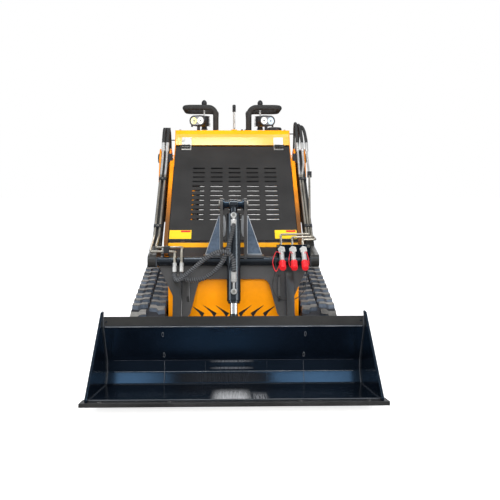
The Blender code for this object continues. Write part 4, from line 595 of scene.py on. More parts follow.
# Lug tops lighter than the belt: dust and painted top light.
LUG_TOP = Finish("lug_top", (0.165, 0.16, 0.15), 0.5, Surface.SCUFFED, "track_rubber", mottle=0.3,
                 smudge=0.12, specular=0.5)
HOSE = Finish("hose_rubber", (0.036, 0.04, 0.047), 0.42, Surface.CAST, "hose_rubber", mottle=0.25)
WRAP = Finish("spiral_guard", (0.09, 0.096, 0.106), 0.34, Surface.CAST, "hose_rubber", mottle=0.25)
GRIP = Finish("grip_black", (0.02, 0.021, 0.024), 0.46, Surface.TEXTURED, "grip", relief=1.6)
RED = Finish("red_cap", (0.72, 0.015, 0.022), 0.32, Surface.CAST, "cap_red", mottle=0.12, coat=0.2)
PLATE_YELLOW = Finish("yellow_reflector", (0.95, 0.62, 0.01), 0.32, Surface.PEEL, "body_orange", coat=0.3,
                      mottle=0.03)
BOWL = Finish("lamp_bowl", (0.26, 0.27, 0.29), 0.34, Surface.CAST, "steel", metallic=0.3, mottle=0.2)
# The core behind the grille glows though it is no lamp: painted light.
GLOWING_CORE = Glow("radiator_core", (0.62, 0.62, 0.62), strength=0.42)
LED_WARM = Glow("lamp_led_warm", (0.9, 0.88, 0.36), strength=0.46)
LED = Glow("lamp_led", (0.92, 0.92, 0.86), strength=0.46)
LED_COOL = Glow("lamp_led_cool", (0.6, 0.78, 0.92), strength=0.46)
# Painted glare on the bucket floor, painted glints at the heel's upper bends and a painted dark reflection on the
# heel.
FLOOR_GLARE = PaintedReflection("polished_floor", -0.012, 0.088, 0.06 - HALF_LENGTH, 0.33 - HALF_LENGTH, 0.35)
FLOOR_GLARE_COMB = PaintedReflection("polished_comb", 0.092, 0.045, 0.05 - HALF_LENGTH, 0.25 - HALF_LENGTH, 0.9,
                    (0.3, 0.31, 0.33))
GLINT = PaintedReflection("polished_bend", -0.01, 0.11, 1.0, 2.0, 0.4, (0.085, 0.092, 0.105))
HEEL_DARK_REFLECTION = PaintedReflection("dull_heel", -0.05, 0.25, 1.0, 2.0, 0.15, (0.012, 0.013, 0.016), "black_paint", 0.15)


# Mesh building


class Piece:
    """One visual object under construction."""

    def __init__(self, name: str) -> None:
        """Start an empty piece."""
        self.name = name
        self.bm = bmesh.new()
        self.looks: list[Look] = []
        self.soft_deg = 40.0

    def _paint(self, faces: Iterable[bmesh.types.BMFace], look: Look) -> None:
        """Give faces a look."""
        if look not in self.looks:
            self.looks.append(look)
        for face in faces:
            face.material_index = self.looks.index(look)

    def repaint(self, look: Look, inside: Callable[[Vector], bool]) -> "Piece":
        """Give another look to the faces whose middle passes a test."""
        self._paint([face for face in self.bm.faces if inside(face.calc_center_median())], look)
        return self

    def plain(self) -> bpy.types.Object:
        """Object of the shape so far, without looks, to finish or to cut a node with."""
        bmesh.ops.recalc_face_normals(self.bm, faces=self.bm.faces)
        mesh = bpy.data.meshes.new(self.name)
        self.bm.to_mesh(mesh)
        self.bm.free()
        return new_object(self.name, mesh)

    def node(self, node: str, look: Look, bevel: float = 0.0012, segments: int = 2, sharp_deg: float = 38.0,
             cutters: Sequence[bpy.types.Object] = ()) -> "Piece":
        """Take over a CAD node's shape with its edges rounded.

        Args:
            node: Name of the CAD node.
            look: Its finish.
            bevel: Width of the rounding.
            segments: Segments of the rounding.
            sharp_deg: Least turn of an edge that is rounded.
            cutters: Objects that are cut away first, and then deleted.

        Returns:
            This piece.
        """
        source = frame["nodes"][node]
        temp = new_object("temp", source.data.copy())
        for other in cutters:
            cut = temp.modifiers.new("Cut", "BOOLEAN")
            cut.operation, cut.object = "DIFFERENCE", other
            left = applied(temp)
            temp.modifiers.clear()
            temp.data = left
            bpy.data.objects.remove(other)
        for width, merge in ((bevel, True), (bevel, False), (bevel * 0.4, False), (0.0, False)):
            self._round(temp, width, segments, sharp_deg, merge)
            mesh = applied(temp)
            if width <= 0.0 or not self._folded(mesh):
                break
            LOG.info("%s folds when rounded by %.1f mm", node, width * 1000)
            bpy.data.meshes.remove(mesh)
        before = len(self.bm.faces)
        self.bm.from_mesh(mesh)
        self.bm.faces.ensure_lookup_table()
        self._paint(self.bm.faces[before:], look)
        bpy.data.objects.remove(temp)
        bpy.data.meshes.remove(mesh)
        return self

    @staticmethod
    def _round(temp: bpy.types.Object, width: float, segments: int, sharp_deg: float, merge: bool) -> None:
        """Give an object the modifiers that round its edges.

        Args:
            temp: The object.
            width: Width of the rounding, or 0 for none.
            segments: Segments of the rounding.
            sharp_deg: Least turn of an edge that is rounded.
            merge: Whether flat neighbours are joined first.
        """
        temp.modifiers.clear()
        if width <= 0.0:
            return
        weld = temp.modifiers.new("Weld", "WELD")
        weld.merge_threshold = 0.00001
        if merge:
            planar = temp.modifiers.new("Planar", "DECIMATE")
            planar.decimate_type = "DISSOLVE"
            planar.angle_limit = math.radians(0.5)
        mod = temp.modifiers.new("Bevel", "BEVEL")
        mod.width = width
        mod.segments = segments
        mod.limit_method = "ANGLE"
        mod.angle_limit = math.radians(sharp_deg)
        mod.miter_outer = "MITER_ARC"

    @staticmethod
    def _folded(mesh: bpy.types.Mesh) -> bool:
        """Whether rounding folded a face over itself."""
        mesh.calc_loop_triangles()
        parts: dict[int, float] = {}
        for triangle in mesh.loop_triangles:
            parts[triangle.polygon_index] = parts.get(triangle.polygon_index, 0.0) + triangle.area
        return any(parts.get(face.index, 0.0) > face.area * 1.004 + 1.2e-5 for face in mesh.polygons)

    def rings(self, rows: Sequence[Sequence[Vector]], look: Look, closed: bool = True, caps: bool = True,
              loop: bool = False) -> "Piece":
        """Skin rows of points.

        Args:
            rows: Rows with the same number of points.
            look: Finish of the faces.
            closed: Whether each row is a ring.
            caps: Whether the first and last rings are filled.
            loop: Whether the last row joins the first.

        Returns:
            This piece.
        """
        verts = [[self.bm.verts.new(p) for p in row] for row in rows]
        faces = []
        count = len(rows[0])
        pairs = list(zip(verts, verts[1:]))
        if loop:
            pairs.append((verts[-1], verts[0]))
        for a, b in pairs:
            for i in range(count if closed else count - 1):
                k = (i + 1) % count
                faces.append(self.bm.faces.new((a[i], a[k], b[k], b[i])))
        if caps and not loop:
            faces.append(self.bm.faces.new(verts[0][::-1]))
            faces.append(self.bm.faces.new(verts[-1]))
        self._paint(faces, look)
        return self

    def tube(self, points: Sequence[Vector], radius: Union[float, Callable[[float], float]], look: Look,
             sides: int = 14) -> "Piece":
        """Round tube along points.

        Args:
            points: The path.
            radius: Radius, or a function of the distance along the path.
            look: Finish.
            sides: Points round the tube.

        Returns:
            This piece.
        """
        rows = []
        for point, normal, side, distance in frames(points):
            r = radius(distance) if callable(radius) else radius
            rows.append([point + (normal * c + side * s) * r for c, s in circle(sides)])
        return self.rings(rows, look)

    def lathe(self, profile: Sequence[Place], start: Vector, way: Vector, look: Look,
              sides: int = 28) -> "Piece":
        """Turned shape.

        Args:
            profile: Radius and distance pairs.
            start: Point on the axis at distance 0.
            way: Direction of the axis.
            look: Finish.
            sides: Points round it; 6 makes a hexagon.

        Returns:
            This piece.
        """
        axis = way.normalized()
        u = axis.orthogonal().normalized()
        v = axis.cross(u)
        rows = [[start + axis * distance + (u * c + v * s) * max(radius, 1e-5) for c, s in circle(sides)]
                for radius, distance in profile]
        return self.rings(rows, look)

    def bolt(self, place: Vector, way: Vector, size: float, look: Look = STEEL,
             washer: bool = True) -> "Piece":
        """Hexagon head with a chamfer, on a washer; size is the head's radius."""
        base = 0.0
        if washer:
            base = size * 0.22
            self.lathe([(size * 1.35, 0.0), (size * 1.4, base * 0.3), (size * 1.4, base * 0.8),
                        (size * 1.3, base)], place, way, look, 20)
        top = base + size * 0.75
        self.lathe([(size, base), (size, top - size * 0.12), (size * 0.86, top), (size * 0.4, top)],
                   place, way, look, 6)
        return self

    def slab(self, outline: Sequence[Place], frame_: Matrix, low: float, high: float, look: Look,
             edge: float = 0.001) -> "Piece":
        """Plate with chamfered rims.

        Args:
            outline: Convex or gently concave outline in the frame's first two axes.
            frame_: The plate's frame.
            low: Start along the third axis.
            high: End along the third axis.
            look: Finish.
            edge: Chamfer.

        Returns:
            This piece.
        """
        centre = sum((Vector(p) for p in outline), Vector((0.0, 0.0))) / len(outline)

        def row(height: float, inset: float) -> list[Vector]:
            """Outline at a height, drawn in by an inset."""
            made = []
            for i, p in enumerate(outline):
                here = Vector(p)
                a = (here - Vector(outline[i - 1])).normalized()
                b = (Vector(outline[(i + 1) % len(outline)]) - here).normalized()
                normal = Vector((a.y + b.y, -a.x - b.x))
                normal = normal.normalized() if normal.length > 1e-9 else (here - centre).normalized()
                if normal.dot(here - centre) < 0 and len(outline) <= 8:
                    normal.negate()
                spot = here - normal * inset
                made.append(frame_ @ Vector((spot.x, spot.y, height)))
            return made

        rows = [row(low, edge), row(low + edge, 0.0), row(high - edge, 0.0), row(high, edge)]
        return self.rings(rows, look)

    def block(self, across: Place, back: Place, up: Place, look: Look, edge: float = 0.0015) -> "Piece":
        """Box with rounded edges between pairs of limits."""
        temp = bmesh.new()
        bmesh.ops.create_cube(temp, size=1.0)
        low = at(min(across), min(back), min(up))
        high = at(max(across), max(back), max(up))
        bmesh.ops.scale(temp, vec=high - low, verts=temp.verts)
        bmesh.ops.translate(temp, vec=(low + high) / 2, verts=temp.verts)
        bmesh.ops.bevel(temp, geom=temp.edges[:], offset=edge, segments=2, affect="EDGES", profile=0.6)
        return self.take(temp, look)

    def take(self, other: bmesh.types.BMesh, look: Look) -> "Piece":
        """Add another bmesh, which is freed."""
        mesh = bpy.data.meshes.new("temp")
        other.to_mesh(mesh)
        other.free()
        before = len(self.bm.faces)
        self.bm.from_mesh(mesh)
        bpy.data.meshes.remove(mesh)
        self.bm.faces.ensure_lookup_table()
        self._paint(self.bm.faces[before:], look)
        return self

    def weld(self, points: Sequence[Vector], radius: float = 0.0028, look: Look = WELD) -> "Piece":
        """Rippled weld bead along points."""
        spacing, pitch, unevenness = 0.0022, 0.0075, 37.0
        path = []
        for a, b in zip(points, points[1:]):
            count = max(1, round((b - a).length / spacing))
            path += [a.lerp(b, k / count) for k in range(count)]
        path.append(points[-1])
        return self.tube(path, lambda s: radius * (1.0 + 0.2 * abs(math.sin(math.pi * s / pitch))
                                                   + 0.12 * math.sin(s * unevenness)), look, 8)

    def done(self, body: str, *nodes: str) -> bpy.types.Object:
        """Make the object.

        Args:
            body: Body that it rides on, or nothing for a piece that bends between two.
            nodes: CAD nodes that it replaces.

        Returns:
            The object.
        """
        made = self.plain()
        mesh = made.data
        for look in self.looks:
            mesh.materials.append(look.build())
        mesh.shade_smooth()
        mesh.set_sharp_from_angle(angle=math.radians(self.soft_deg))
        level = made.modifiers.new("Level", "WEIGHTED_NORMAL")
        level.keep_sharp = True
        level.weight = 80
        made.data = applied(made)
        made.modifiers.clear()
        bpy.data.meshes.remove(mesh)
        if body:
            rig.ride(made, body)
        if nodes:
            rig.replaces(made, *nodes)
        if self.looks:
            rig.slot(made, self.looks[0].slot)
        LOG.info("made %s on %s", self.name, body)
        return made


SIDE_VIEW = frame_of(-FORWARD, UP, ACROSS, at(0.0, 0.0, 0.0))


def slope_matrix(top: Place, foot: Place) -> Matrix:
    """Frame of a sloping plate: X across, the second axis down the slope, the third into it."""
    down = Vector((0.0, foot[0] - top[0], foot[1] - top[1])).normalized()
    return frame_of(ACROSS, down, ACROSS.cross(down), at(0.0, *top))


# Sub-assemblies


@dataclass
class Bucket:
    """Bent shell, side plates, cutting edge, welds and the attachment plate."""

    line: tuple = ((0.0435, 0.059), (0.45, 0.0092), (0.488, 0.055), (0.49, 0.105), (0.397, 0.271),
                   (0.405, 0.312))
    bend: float = 0.012
    plate: float = 0.006
    half: float = 0.5497
    hanger_half: float = 0.3
    hangers: Place = (0.1723, 0.0037)
    seam_x: float = 0.302
    slots: Place = (0.031, 0.146)
    faint_seams: Place = (-0.125, 0.142)
    pins: tuple = (-0.286, -0.229, 0.229, 0.286)

    def build(self) -> None:
        """Make every piece of the bucket."""
        self.build_shell()
        self.build_sides()
        self.build_edge()
        self.build_attachment()

    def inner_line(self, steps: int = 8) -> list[Vector]:
        """Inner side of the bent plate, front to lip."""
        return rounded(self.line, self.bend, steps)

    def wall_frame(self) -> Matrix:
        """Frame of the back wall: X across, the second axis up the wall, the third out of its inner face."""
        wall, _ = way_between(*self.line[3:5])
        return frame_of(ACROSS, (0.0, *wall), (0.0, -wall[1], wall[0]), at(0.0, *self.line[3]))

    def build_shell(self) -> None:
        """Bent plate with smooth bends, and its welds."""
        inner = self.inner_line()
        outer = []
        for i, p in enumerate(inner):
            a = (p - inner[i - 1]).normalized() if i else (inner[1] - p).normalized()
            b = (inner[i + 1] - p).normalized() if i < len(inner) - 1 else a
            outer.append(p + Vector((a.y + b.y, -a.x - b.x)).normalized() * self.plate)
        piece = Piece("bucket_plate")
        piece.rings([[at(x, *p) for p in inner + outer[::-1]] for x in (-self.half, self.half)], WORN_BLACK)
        wall, _ = way_between(*self.line[3:5])
        for low in self.hangers:
            corners = [along(self.line[3], wall, s, -off) for s, off in
                       ((low, 0.003), (low, 0.03), (low + 0.008, 0.03), (low + 0.008, 0.003))]
            piece.slab(corners, SIDE_VIEW, -self.hanger_half, self.hanger_half, WORN_BLACK, 0.0008)
        rise = self.rise()
        lip_band = [along(self.line[4], rise, s, off) for s, off in oblong(0.0035, 0.0415, 0.0, 0.0004)]
        piece.slab(lip_band, SIDE_VIEW, -self.half, self.half, LIP, 0.0001)
        piece.soft_deg = 30
        piece.done("bucket", "bucket_shell")
        self.build_welds(inner)

    def rise(self) -> Place:
        """Way up the lip."""
        return way_between(*self.line[4:6])[0]

    def build_welds(self, inner: list[Vector]) -> None:
        """Beads and seams on the inner line, the wall's four ringed slots and the lip's bolts; the thin bright lines
        under the lip bead and along the bends are painted highlights.
        """
        wall, _ = way_between(*self.line[3:5])
        welds = Piece("bucket_welds")
        back, up = along(self.line[4], wall, 0.0, 0.0015)
        welds.weld([at(-0.545, back, up), at(0.545, back, up)], 0.0028)
        # A thin bright line under the lip bead: a painted highlight.
        back, up = back - 0.0022, up - 0.0004
        welds.weld([at(-0.54, back, up), at(0.54, back, up)], 0.001, BARE_WELD_AND_GLINT)
        for x in (-0.548, 0.548):
            welds.weld([at(x, *p) for p in inner], 0.0024)
        seam = inner[9:20]
        for x in (-self.seam_x, self.seam_x):
            for middle in self.slots:
                ring = [at(x + 0.0038 * c, *along(self.line[3], wall, middle + 0.0125 * s, 0.0004))
                        for c, s in circle(16)]
                welds.tube([*ring, ring[0]], 0.0006, BARE_WELD_AND_GLINT, 8)
                slot = oblong(x - 0.0026, x + 0.0026, middle - 0.0095, middle + 0.0095)
                welds.slab(slot, self.wall_frame(), -0.0004, 0.0003, BLACK, 0.0)
            welds.weld([at(x, *p) for p in seam], 0.0012)
        for x in self.faint_seams:
            welds.weld([at(x, *p) for p in seam], 0.0004)
        # Thin lines along the three bends stand in for their highlights; the bright middle one is a painted highlight.
        for corner, size, look in zip(self.line[1:4], (0.0005, 0.0005, 0.0004), (WELD, BARE_WELD_AND_GLINT, WELD)):
            bend = min(inner, key=lambda p, c=corner: (p - Vector(c)).length)
            welds.weld([at(-0.52, *bend), at(0.52, *bend)], size, look)
        welds.weld([at(-0.55, 0.0425, 0.0575), at(0.55, 0.0425, 0.0575)], 0.0022)
        for x in (-0.536, 0.536):
            welds.bolt(at(x, *along(self.line[4], self.rise(), 0.02)), Vector((0.0, -0.98, 0.19)), 0.0036,
                       BLACK, False)
        welds.done("bucket")

    def build_sides(self) -> None:
        """Side plates with rounded edges."""
        for word, _ in SIDES:
            piece = Piece("bucket_cheek_" + word).node("bucket_side_" + word, WORN_BLACK, 0.0016)
            piece.done("bucket", "bucket_side_" + word)

    def patch(self, piece: Piece, corner: int, run: Place, across: Place, look: Look) -> None:
        """Thin sheet on the plate after a corner of the line, between two distances from it."""
        way, _ = way_between(*self.line[corner:corner + 2])
        rows = []
        for off in (0.0003, 0.0006):
            a, b = (along(self.line[corner], way, s, off) for s in run)
            rows.append([at(across[0], *a), at(across[1], *a), at(across[1], *b), at(across[0], *b)])
        piece.rings(rows, look)

    def build_edge(self) -> None:
        """Cutting edge, with a painted glare on the floor, painted glints on the heel's upper plate and a painted dark
        reflection on the heel.
        """
        Piece("bucket_edge").node("cutting_edge", EDGE_BLACK, 0.0014).done("bucket", "cutting_edge")
        streak = Piece("worn_streak")
        floor = [Vector(p) for p in self.line[:2]]
        for low, high, reach, look in ((-0.105, 0.064, 0.72, FLOOR_GLARE), (0.066, 0.136, 0.6, FLOOR_GLARE_COMB)):
            near, far = floor[0].lerp(floor[1], 0.01), floor[0].lerp(floor[1], reach)
            row = [at(low, near.x, near.y + 0.0003), at(high, near.x, near.y + 0.0003),
                   at(high, far.x, far.y + 0.0003), at(low, far.x, far.y + 0.0003)]
            streak.rings([row, [p + Vector((0.0, 0.0, 0.0003)) for p in row]], look)
        _, heel = way_between(*self.line[1:3])
        _, tall = way_between(*self.line[2:4])
        for run in ((0.01, 0.019), (tall - 0.01, tall - 0.002)):
            self.patch(streak, 2, run, (-0.105, 0.085), GLINT)
        self.patch(streak, 1, (0.008, heel - 0.008), (-0.3, 0.2), HEEL_DARK_REFLECTION)
        streak.done("bucket")

    def build_attachment(self) -> None:
        """Attachment plate with its pin bolts, and the two latch levers."""
        piece = Piece("attach_face").node("attach_plate", BLACK, 0.0014)
        for x in self.pins:
            way = ACROSS * (1.0 if abs(x) > 0.25 else -1.0) * math.copysign(1.0, x)
            piece.bolt(at(x + way.x * 0.0085, 0.59, 0.14), way, 0.01, STEEL, False)
        piece.done("bucket", "attach_plate")
        for word, _ in SIDES:
            lever = Piece("latch_handle_" + word).node("latch_lever_" + word, STEEL, 0.001)
            lever.done("latch_" + word, "latch_lever_" + word)


@dataclass
class Tracks:
    """Rubber belts with moulded lugs, wheels, frames and motors."""

    inner: float = 0.315
    outer: float = 0.48
    belt: float = 0.018
    lug: float = 0.022
    count: int = 37
    front: Place = (0.8, 0.152)
    rear: Place = (1.6, 0.132)
    drive: Place = (1.79, 0.335)
    rollers: tuple = ((1.07, 0.0905), (1.33, 0.0905))
    wheels: tuple = ((rear, 0.092), (drive, 0.105), (front, 0.112))
    discs: tuple = ((0.32, 0.361), (0.434, 0.475))
    bolt_face: float = 0.433
    plan: tuple = ((-0.6, 0.0), (-0.56, 0.36), (-0.2, 0.5), (-0.24, 1.0), (0.44, 1.0), (0.58, 0.6),
                   (0.2, 0.44), (0.1, 0.0))

    def build(self) -> None:
        """Make both track units."""
        for word, side in SIDES:
            self.build_belt(word, side)
            self.build_running_gear(word, side)

    def loop(self, offset: float, step: float = 4.0) -> list[Place]:
        """Closed line round the wheels at an offset outside the belt's inner face."""
        points: list[Place] = []
        for i in range(3):
            (before, r0), (here, r1), (after, r2) = (self.wheels[(i + k) % 3] for k in (-1, 0, 1))
            start, end = self._tangent(before, r0, here, r1), self._tangent(here, r1, after, r2)
            while end < start:
                end += 360.0
            steps = max(2, round((end - start) / step))
            for k in range(steps + 1):
                angle = math.radians(start + (end - start) * k / steps)
                points.append((here[0] + (r1 + offset) * math.cos(angle),
                               here[1] + (r1 + offset) * math.sin(angle)))
        return points

    @staticmethod
    def _tangent(a: Place, ra: float, b: Place, rb: float) -> float:
        """Direction in degrees of the outer tangent's contact, for an anticlockwise belt."""
        heading = math.degrees(math.atan2(b[1] - a[1], b[0] - a[0]))
        return heading - 90.0 + math.degrees(math.asin((ra - rb) / math.dist(a, b)))

    def sampler(self) -> tuple[Callable[[float, float], Place], float]:
        """Function from a distance along the belt and a height over its inner face to a place."""
        base, tips = self.loop(0.0), self.loop(0.1)
        lengths = [0.0]
        for a, b in zip(base, base[1:] + base[:1]):
            lengths.append(lengths[-1] + math.dist(a, b))
        total = lengths[-1]

        def place(distance: float, height: float) -> Place:
            """Place at a distance along the belt and a height over its inner face."""
            distance %= total
            k = max(i for i in range(len(base)) if lengths[i] <= distance)
            t = (distance - lengths[k]) / max(1e-9, lengths[k + 1] - lengths[k])
            nxt = (k + 1) % len(base)
            low, high = (Vector(line[k]).lerp(Vector(line[nxt]), t) for line in (base, tips))
            return tuple(low.lerp(high, height / 0.1))

        return place, total

    def build_belt(self, word: str, side: float) -> None:
        """Belt with two staggered rows of moulded lugs."""
        place, total = self.sampler()
        piece = Piece("belt_" + word)
        outer_line, inner_line = self.loop(self.belt), self.loop(0.0)
        edge = 0.004
        widths = ((self.inner, 0.3), (self.inner + edge, 1.0), (self.outer - edge, 1.0), (self.outer, 0.3))
        rows = []
        for i in range(len(outer_line)):
            o, n = Vector(outer_line[i]), Vector(inner_line[i])
            row = [at(side * x, *o.lerp(n, (1 - share) * 0.4)) for x, share in widths]
            row += [at(side * x, *n) for x in (self.outer, self.inner)]
            rows.append(row)
        piece.rings(rows, RUBBER, loop=True, caps=False)
        pitch = total / self.count
        middle = (self.inner + self.outer) / 2
        for shift, near, far in ((0.0, middle - 0.004, self.inner + 0.003),
                                 (0.5, middle + 0.004, self.outer - 0.003)):
            for i in range(self.count):
                self.add_lug(piece, place, side, (i + shift) * pitch, pitch, near, far)
        for i in range(self.count * 2):
            self.add_rib(piece, place, side, i * pitch / 2, middle)
        piece.soft_deg = 35
        piece.done("chassis", "track_belt_" + word)

    def add_lug(self, piece: Piece, place: Callable[[float, float], Place], side: float, centre: float,
                pitch: float, near: float, far: float) -> None:
        """One lug: a block with drafted sides, a softened rim and a stepped outline."""
        rows = []
        for share, height in ((1.0, self.belt - 0.002), (0.97, self.belt + 0.004),
                              (0.86, self.belt + self.lug - 0.003), (0.8, self.belt + self.lug - 0.0006),
                              (0.76, self.belt + self.lug)):
            row = []
            for u, v in self.plan:
                spread = 0.5 + (v - 0.5) * (1.0 - (1.0 - share) * 0.35)
                x = near + (far - near) * spread
                row.append(at(side * x, *place(centre + u * pitch * 0.62 * share, height)))
            rows.append(row)
        # Bluish sides as a painted sky sheen, lighter tops as dust and painted top light.
        piece.rings(rows[:4], TREAD)
        piece.rings(rows[2:], LUG_TOP)

    def add_rib(self, piece: Piece, place: Callable[[float, float], Place], side: float, centre: float,
                middle: float) -> None:
        """Low moulded rib between the two rows of lugs."""
        rows = []
        for x in (middle - 0.016, middle + 0.016):
            rows.append([at(side * x, *place(centre + u, self.belt + h)) for u, h in
                         ((-0.006, -0.002), (-0.004, 0.004), (0.004, 0.004), (0.006, -0.002))])
        piece.rings(rows, RUBBER)

    def build_running_gear(self, word: str, side: float) -> None:
        """Frame, wheels, sprocket and motor with their bolts."""
        frame_piece = Piece("track_beam_" + word).node("track_frame_" + word, GREY, 0.002)
        for back in (1.0, 1.2, 1.45):
            frame_piece.bolt(at(side * self.bolt_face, back, 0.185), ACROSS * side, 0.009)
        frame_piece.done("chassis", "track_frame_" + word)
        self.build_wheel(f"front_idler_{word}", self.front, 0.1115, side)
        self.build_wheel(f"rear_idler_{word}", self.rear, 0.0915, side)
        for i, centre in enumerate(self.rollers):
            self.build_wheel(f"track_roller_{word}_{i + 1}", centre, 0.05, side)
        motor = Piece("motor_" + word).node("drive_motor_" + word, GREY, 0.0015)
        motor.done("chassis", "drive_motor_" + word)
        sprocket = Piece("sprocket_" + word).node("drive_sprocket_" + word, STEEL, 0.0012)
        for c, s in circle(6, 0.045):
            sprocket.bolt(at(side * self.bolt_face, self.drive[0] + c, self.drive[1] + s), ACROSS * side,
                          0.007)
        sprocket.done("drive_sprocket_" + word, "drive_sprocket_" + word)

    def build_wheel(self, name: str, centre: Place, radius: float, side: float) -> None:
        """Pair of dished discs on an axle."""
        piece = Piece(name + "_wheel")
        for low, high in self.discs:
            dish = [(0.018, 0.004), (radius * 0.35, 0.004), (radius * 0.42, 0.01), (radius * 0.72, 0.01),
                    (radius * 0.8, 0.002), (radius * 0.96, 0.0), (radius, 0.002)]
            piece.lathe(mirrored(dish, high - low), at(side * low, *centre), ACROSS * side, STEEL, 40)
        axle = mirrored([(0.01, 0.0), (0.016, 0.002)], 0.145)
        piece.lathe(axle, at(side * 0.325, *centre), ACROSS * side, STEEL, 20)
        piece.bolt(at(side * 0.47, *centre), ACROSS * side, 0.009, STEEL, False)
        piece.done(name, name)


@dataclass
class Arms:
    """Lift arms, their front frame and the mast with its welds."""

    tube: Place = (0.765, 0.508)
    apron_top: Place = (0.772, 0.492)
    apron_foot: Place = (0.632, 0.15)
    mast_pin: Place = TILT_PINS[0]
    base_up: float = 0.524
    gusset_back: float = 0.7838
    gusset_top: float = 0.72

    def build(self) -> None:
        """Make every piece of the arms."""
        for word, side in SIDES:
            piece = Piece("boom_" + word).node("arm_" + word, BOOM, 0.003, 3)
            piece.weld([at(side * 0.357, 0.742, 0.482), at(side * 0.357, 0.738, 0.53)], 0.003)
            piece.done("lift_arms", "arm_" + word)
        self.build_front_frame()
        self.build_gussets()
        self.build_tilt_pin()

    def apron(self, x: float, down: float, off: float = 0.0) -> Vector:
        """Point on the apron's front face, or off behind it."""
        return at(x, *along(self.apron_top, way_between(self.apron_top, self.apron_foot)[0], down, off))

    def build_front_frame(self) -> None:
        """Weldment with beads where its plates meet; the legs' front faces take the darker arm paint as painted shade,
        and bright dashes on the top bead are painted highlights.
        """
        cutters = [self.flare(side) for _, side in SIDES]
        piece = Piece("front_weldment").node("arm_front_frame", APRON, 0.0012, cutters=cutters)
        face = slope_matrix(self.apron_top, self.apron_foot).inverted()
        # Painted shade: the legs' front faces take the darker arm paint.
        piece.repaint(BOOM, lambda p: (face @ p).z < -0.004 and 0.2385 < abs(p.x) < 0.2765)
        piece.done("lift_arms", "arm_front_frame")
        dark = Piece("cross_tube_sleeve")
        dark.lathe(mirrored([(0.0205, 0.0), (0.0209, 0.002)], 0.71), at(-0.355, *self.tube), ACROSS,
                   TUBE_BLACK, 32)
        dark.done("lift_arms")
        welds = Piece("frame_welds")
        welds.weld([self.apron(-0.35, 0.001, -0.0015), self.apron(0.35, 0.001, -0.0015)], 0.003)
        for side in (-1.0, 1.0):
            for x, foot in ((0.24, 0.254), (0.275, 0.34)):
                welds.weld([self.apron(side * x, 0.06, -0.001), self.apron(side * x, foot, -0.001)], 0.0022)
            for x in (0.204, 0.214):
                welds.weld([self.apron(side * x, 0.055, -0.001), self.apron(side * x, 0.175, -0.001)], 0.0018)
            base, back = self.base_up + 0.012, 0.784
            for x in (0.049, 0.062):
                welds.weld([at(side * x, 0.75, base), at(side * x, 0.804, base)], 0.0022)
            corner = at(side * 0.063, back, base)
            for end in (at(side * 0.133, back, base), at(side * 0.063, back, 0.71)):
                welds.weld([corner, end], 0.0022)
        welds.weld([at(-0.139, 0.7475, 0.527), at(0.139, 0.7475, 0.527)], 0.0024)
        # Bright dashes along the apron's top bead: painted highlights.
        for low, high in ((-0.348, -0.262), (-0.052, -0.034), (0.036, 0.05), (0.17, 0.196), (0.208, 0.222),
                          (0.3, 0.346)):
            welds.weld([self.apron(low, -0.001, -0.0042), self.apron(high, -0.001, -0.0042)], 0.0015,
                       BARE_WELD_AND_GLINT)
        welds.done("lift_arms")

    def flare(self, side: float) -> bpy.types.Object:
        """Cutter that opens the arch's foot in a curve."""
        matrix = slope_matrix(self.apron_top, self.apron_foot)
        outline = [(0.15, 0.2), (0.1913, 0.2), (0.1945, 0.218), (0.199, 0.231), (0.206, 0.2425),
                   (0.216, 0.2515), (0.23, 0.257), (0.2385, 0.258), (0.2385, 0.385), (0.15, 0.385)]
        piece = Piece("flare")
        rows = [[matrix @ Vector((side * x, down, depth)) for x, down in outline] for depth in (-0.02, 0.03)]
        piece.rings(rows, APRON)
        return piece.plain()

    def build_gussets(self) -> None:
        """Gusset faces in blue-grey, a painted sky reflection, with bright beads along their edges and a bright strap,
        partly bare weld and partly painted highlight.
        """
        piece = Piece("mast_gussets")
        facing = frame_of(ACROSS, UP, -FORWARD, at(0.0, self.gusset_back, 0.0))
        foot, top = self.base_up + 0.0125, self.gusset_top
        for side in (-1.0, 1.0):
            face = [(side * 0.0628, foot), (side * 0.1315, foot), (side * 0.0668, top), (side * 0.0628, top)]
            piece.slab(face, facing, -0.0006, 0.0004, GUSSET_SKY_REFLECTION, 0.0002)
            front = self.gusset_back - 0.0006
            piece.weld([at(side * 0.1322, front, foot), at(side * 0.0675, front, top - 0.001)], 0.0012,
                       BARE_WELD_AND_GLINT)
            piece.weld([at(side * 0.064, front, top - 0.004), at(side * 0.064, front, foot + 0.004)], 0.0018,
                       BARE_WELD_AND_GLINT)
            piece.weld([at(side * 0.066, front, foot + 0.002), at(side * 0.13, front, foot + 0.002)], 0.0018,
                       BARE_WELD_AND_GLINT)
            strap = [(side * 0.048, 0.618), (side * 0.04, 0.626), (side * 0.0355, 0.65), (side * 0.035, 0.69),
                     (side * 0.0385, 0.712), (side * 0.044, 0.724), (side * 0.048, 0.716)]
            piece.slab(strap, facing, 0.0, 0.004, BARE_WELD_AND_GLINT, 0.0006)
        piece.done("lift_arms")

    def build_tilt_pin(self) -> None:
        """Headed pin, with bosses, spacers and a keeper bolt on each side."""
        Piece("mast_pin").node("tilt_pin", STEEL, 0.0015).done("lift_arms", "tilt_pin")
        rims = Piece("mast_bosses")
        for side in (-1.0, 1.0):
            rims.lathe([(0.0125, 0.0), (0.024, 0.0), (0.026, -0.002), (0.026, -0.007), (0.0125, -0.007)],
                       at(side * 0.049, *self.mast_pin), ACROSS * side, BLACK, 28)
            rims.bolt(at(side * 0.063, 0.774, 0.742), ACROSS * side, 0.005)
            spacer = mirrored([(0.0122, 0.0), (0.0165, 0.0008)], 0.028)
            rims.lathe(spacer, at(side * 0.0198, *self.mast_pin), ACROSS * side, BLACK, 28)
        rims.done("lift_arms")


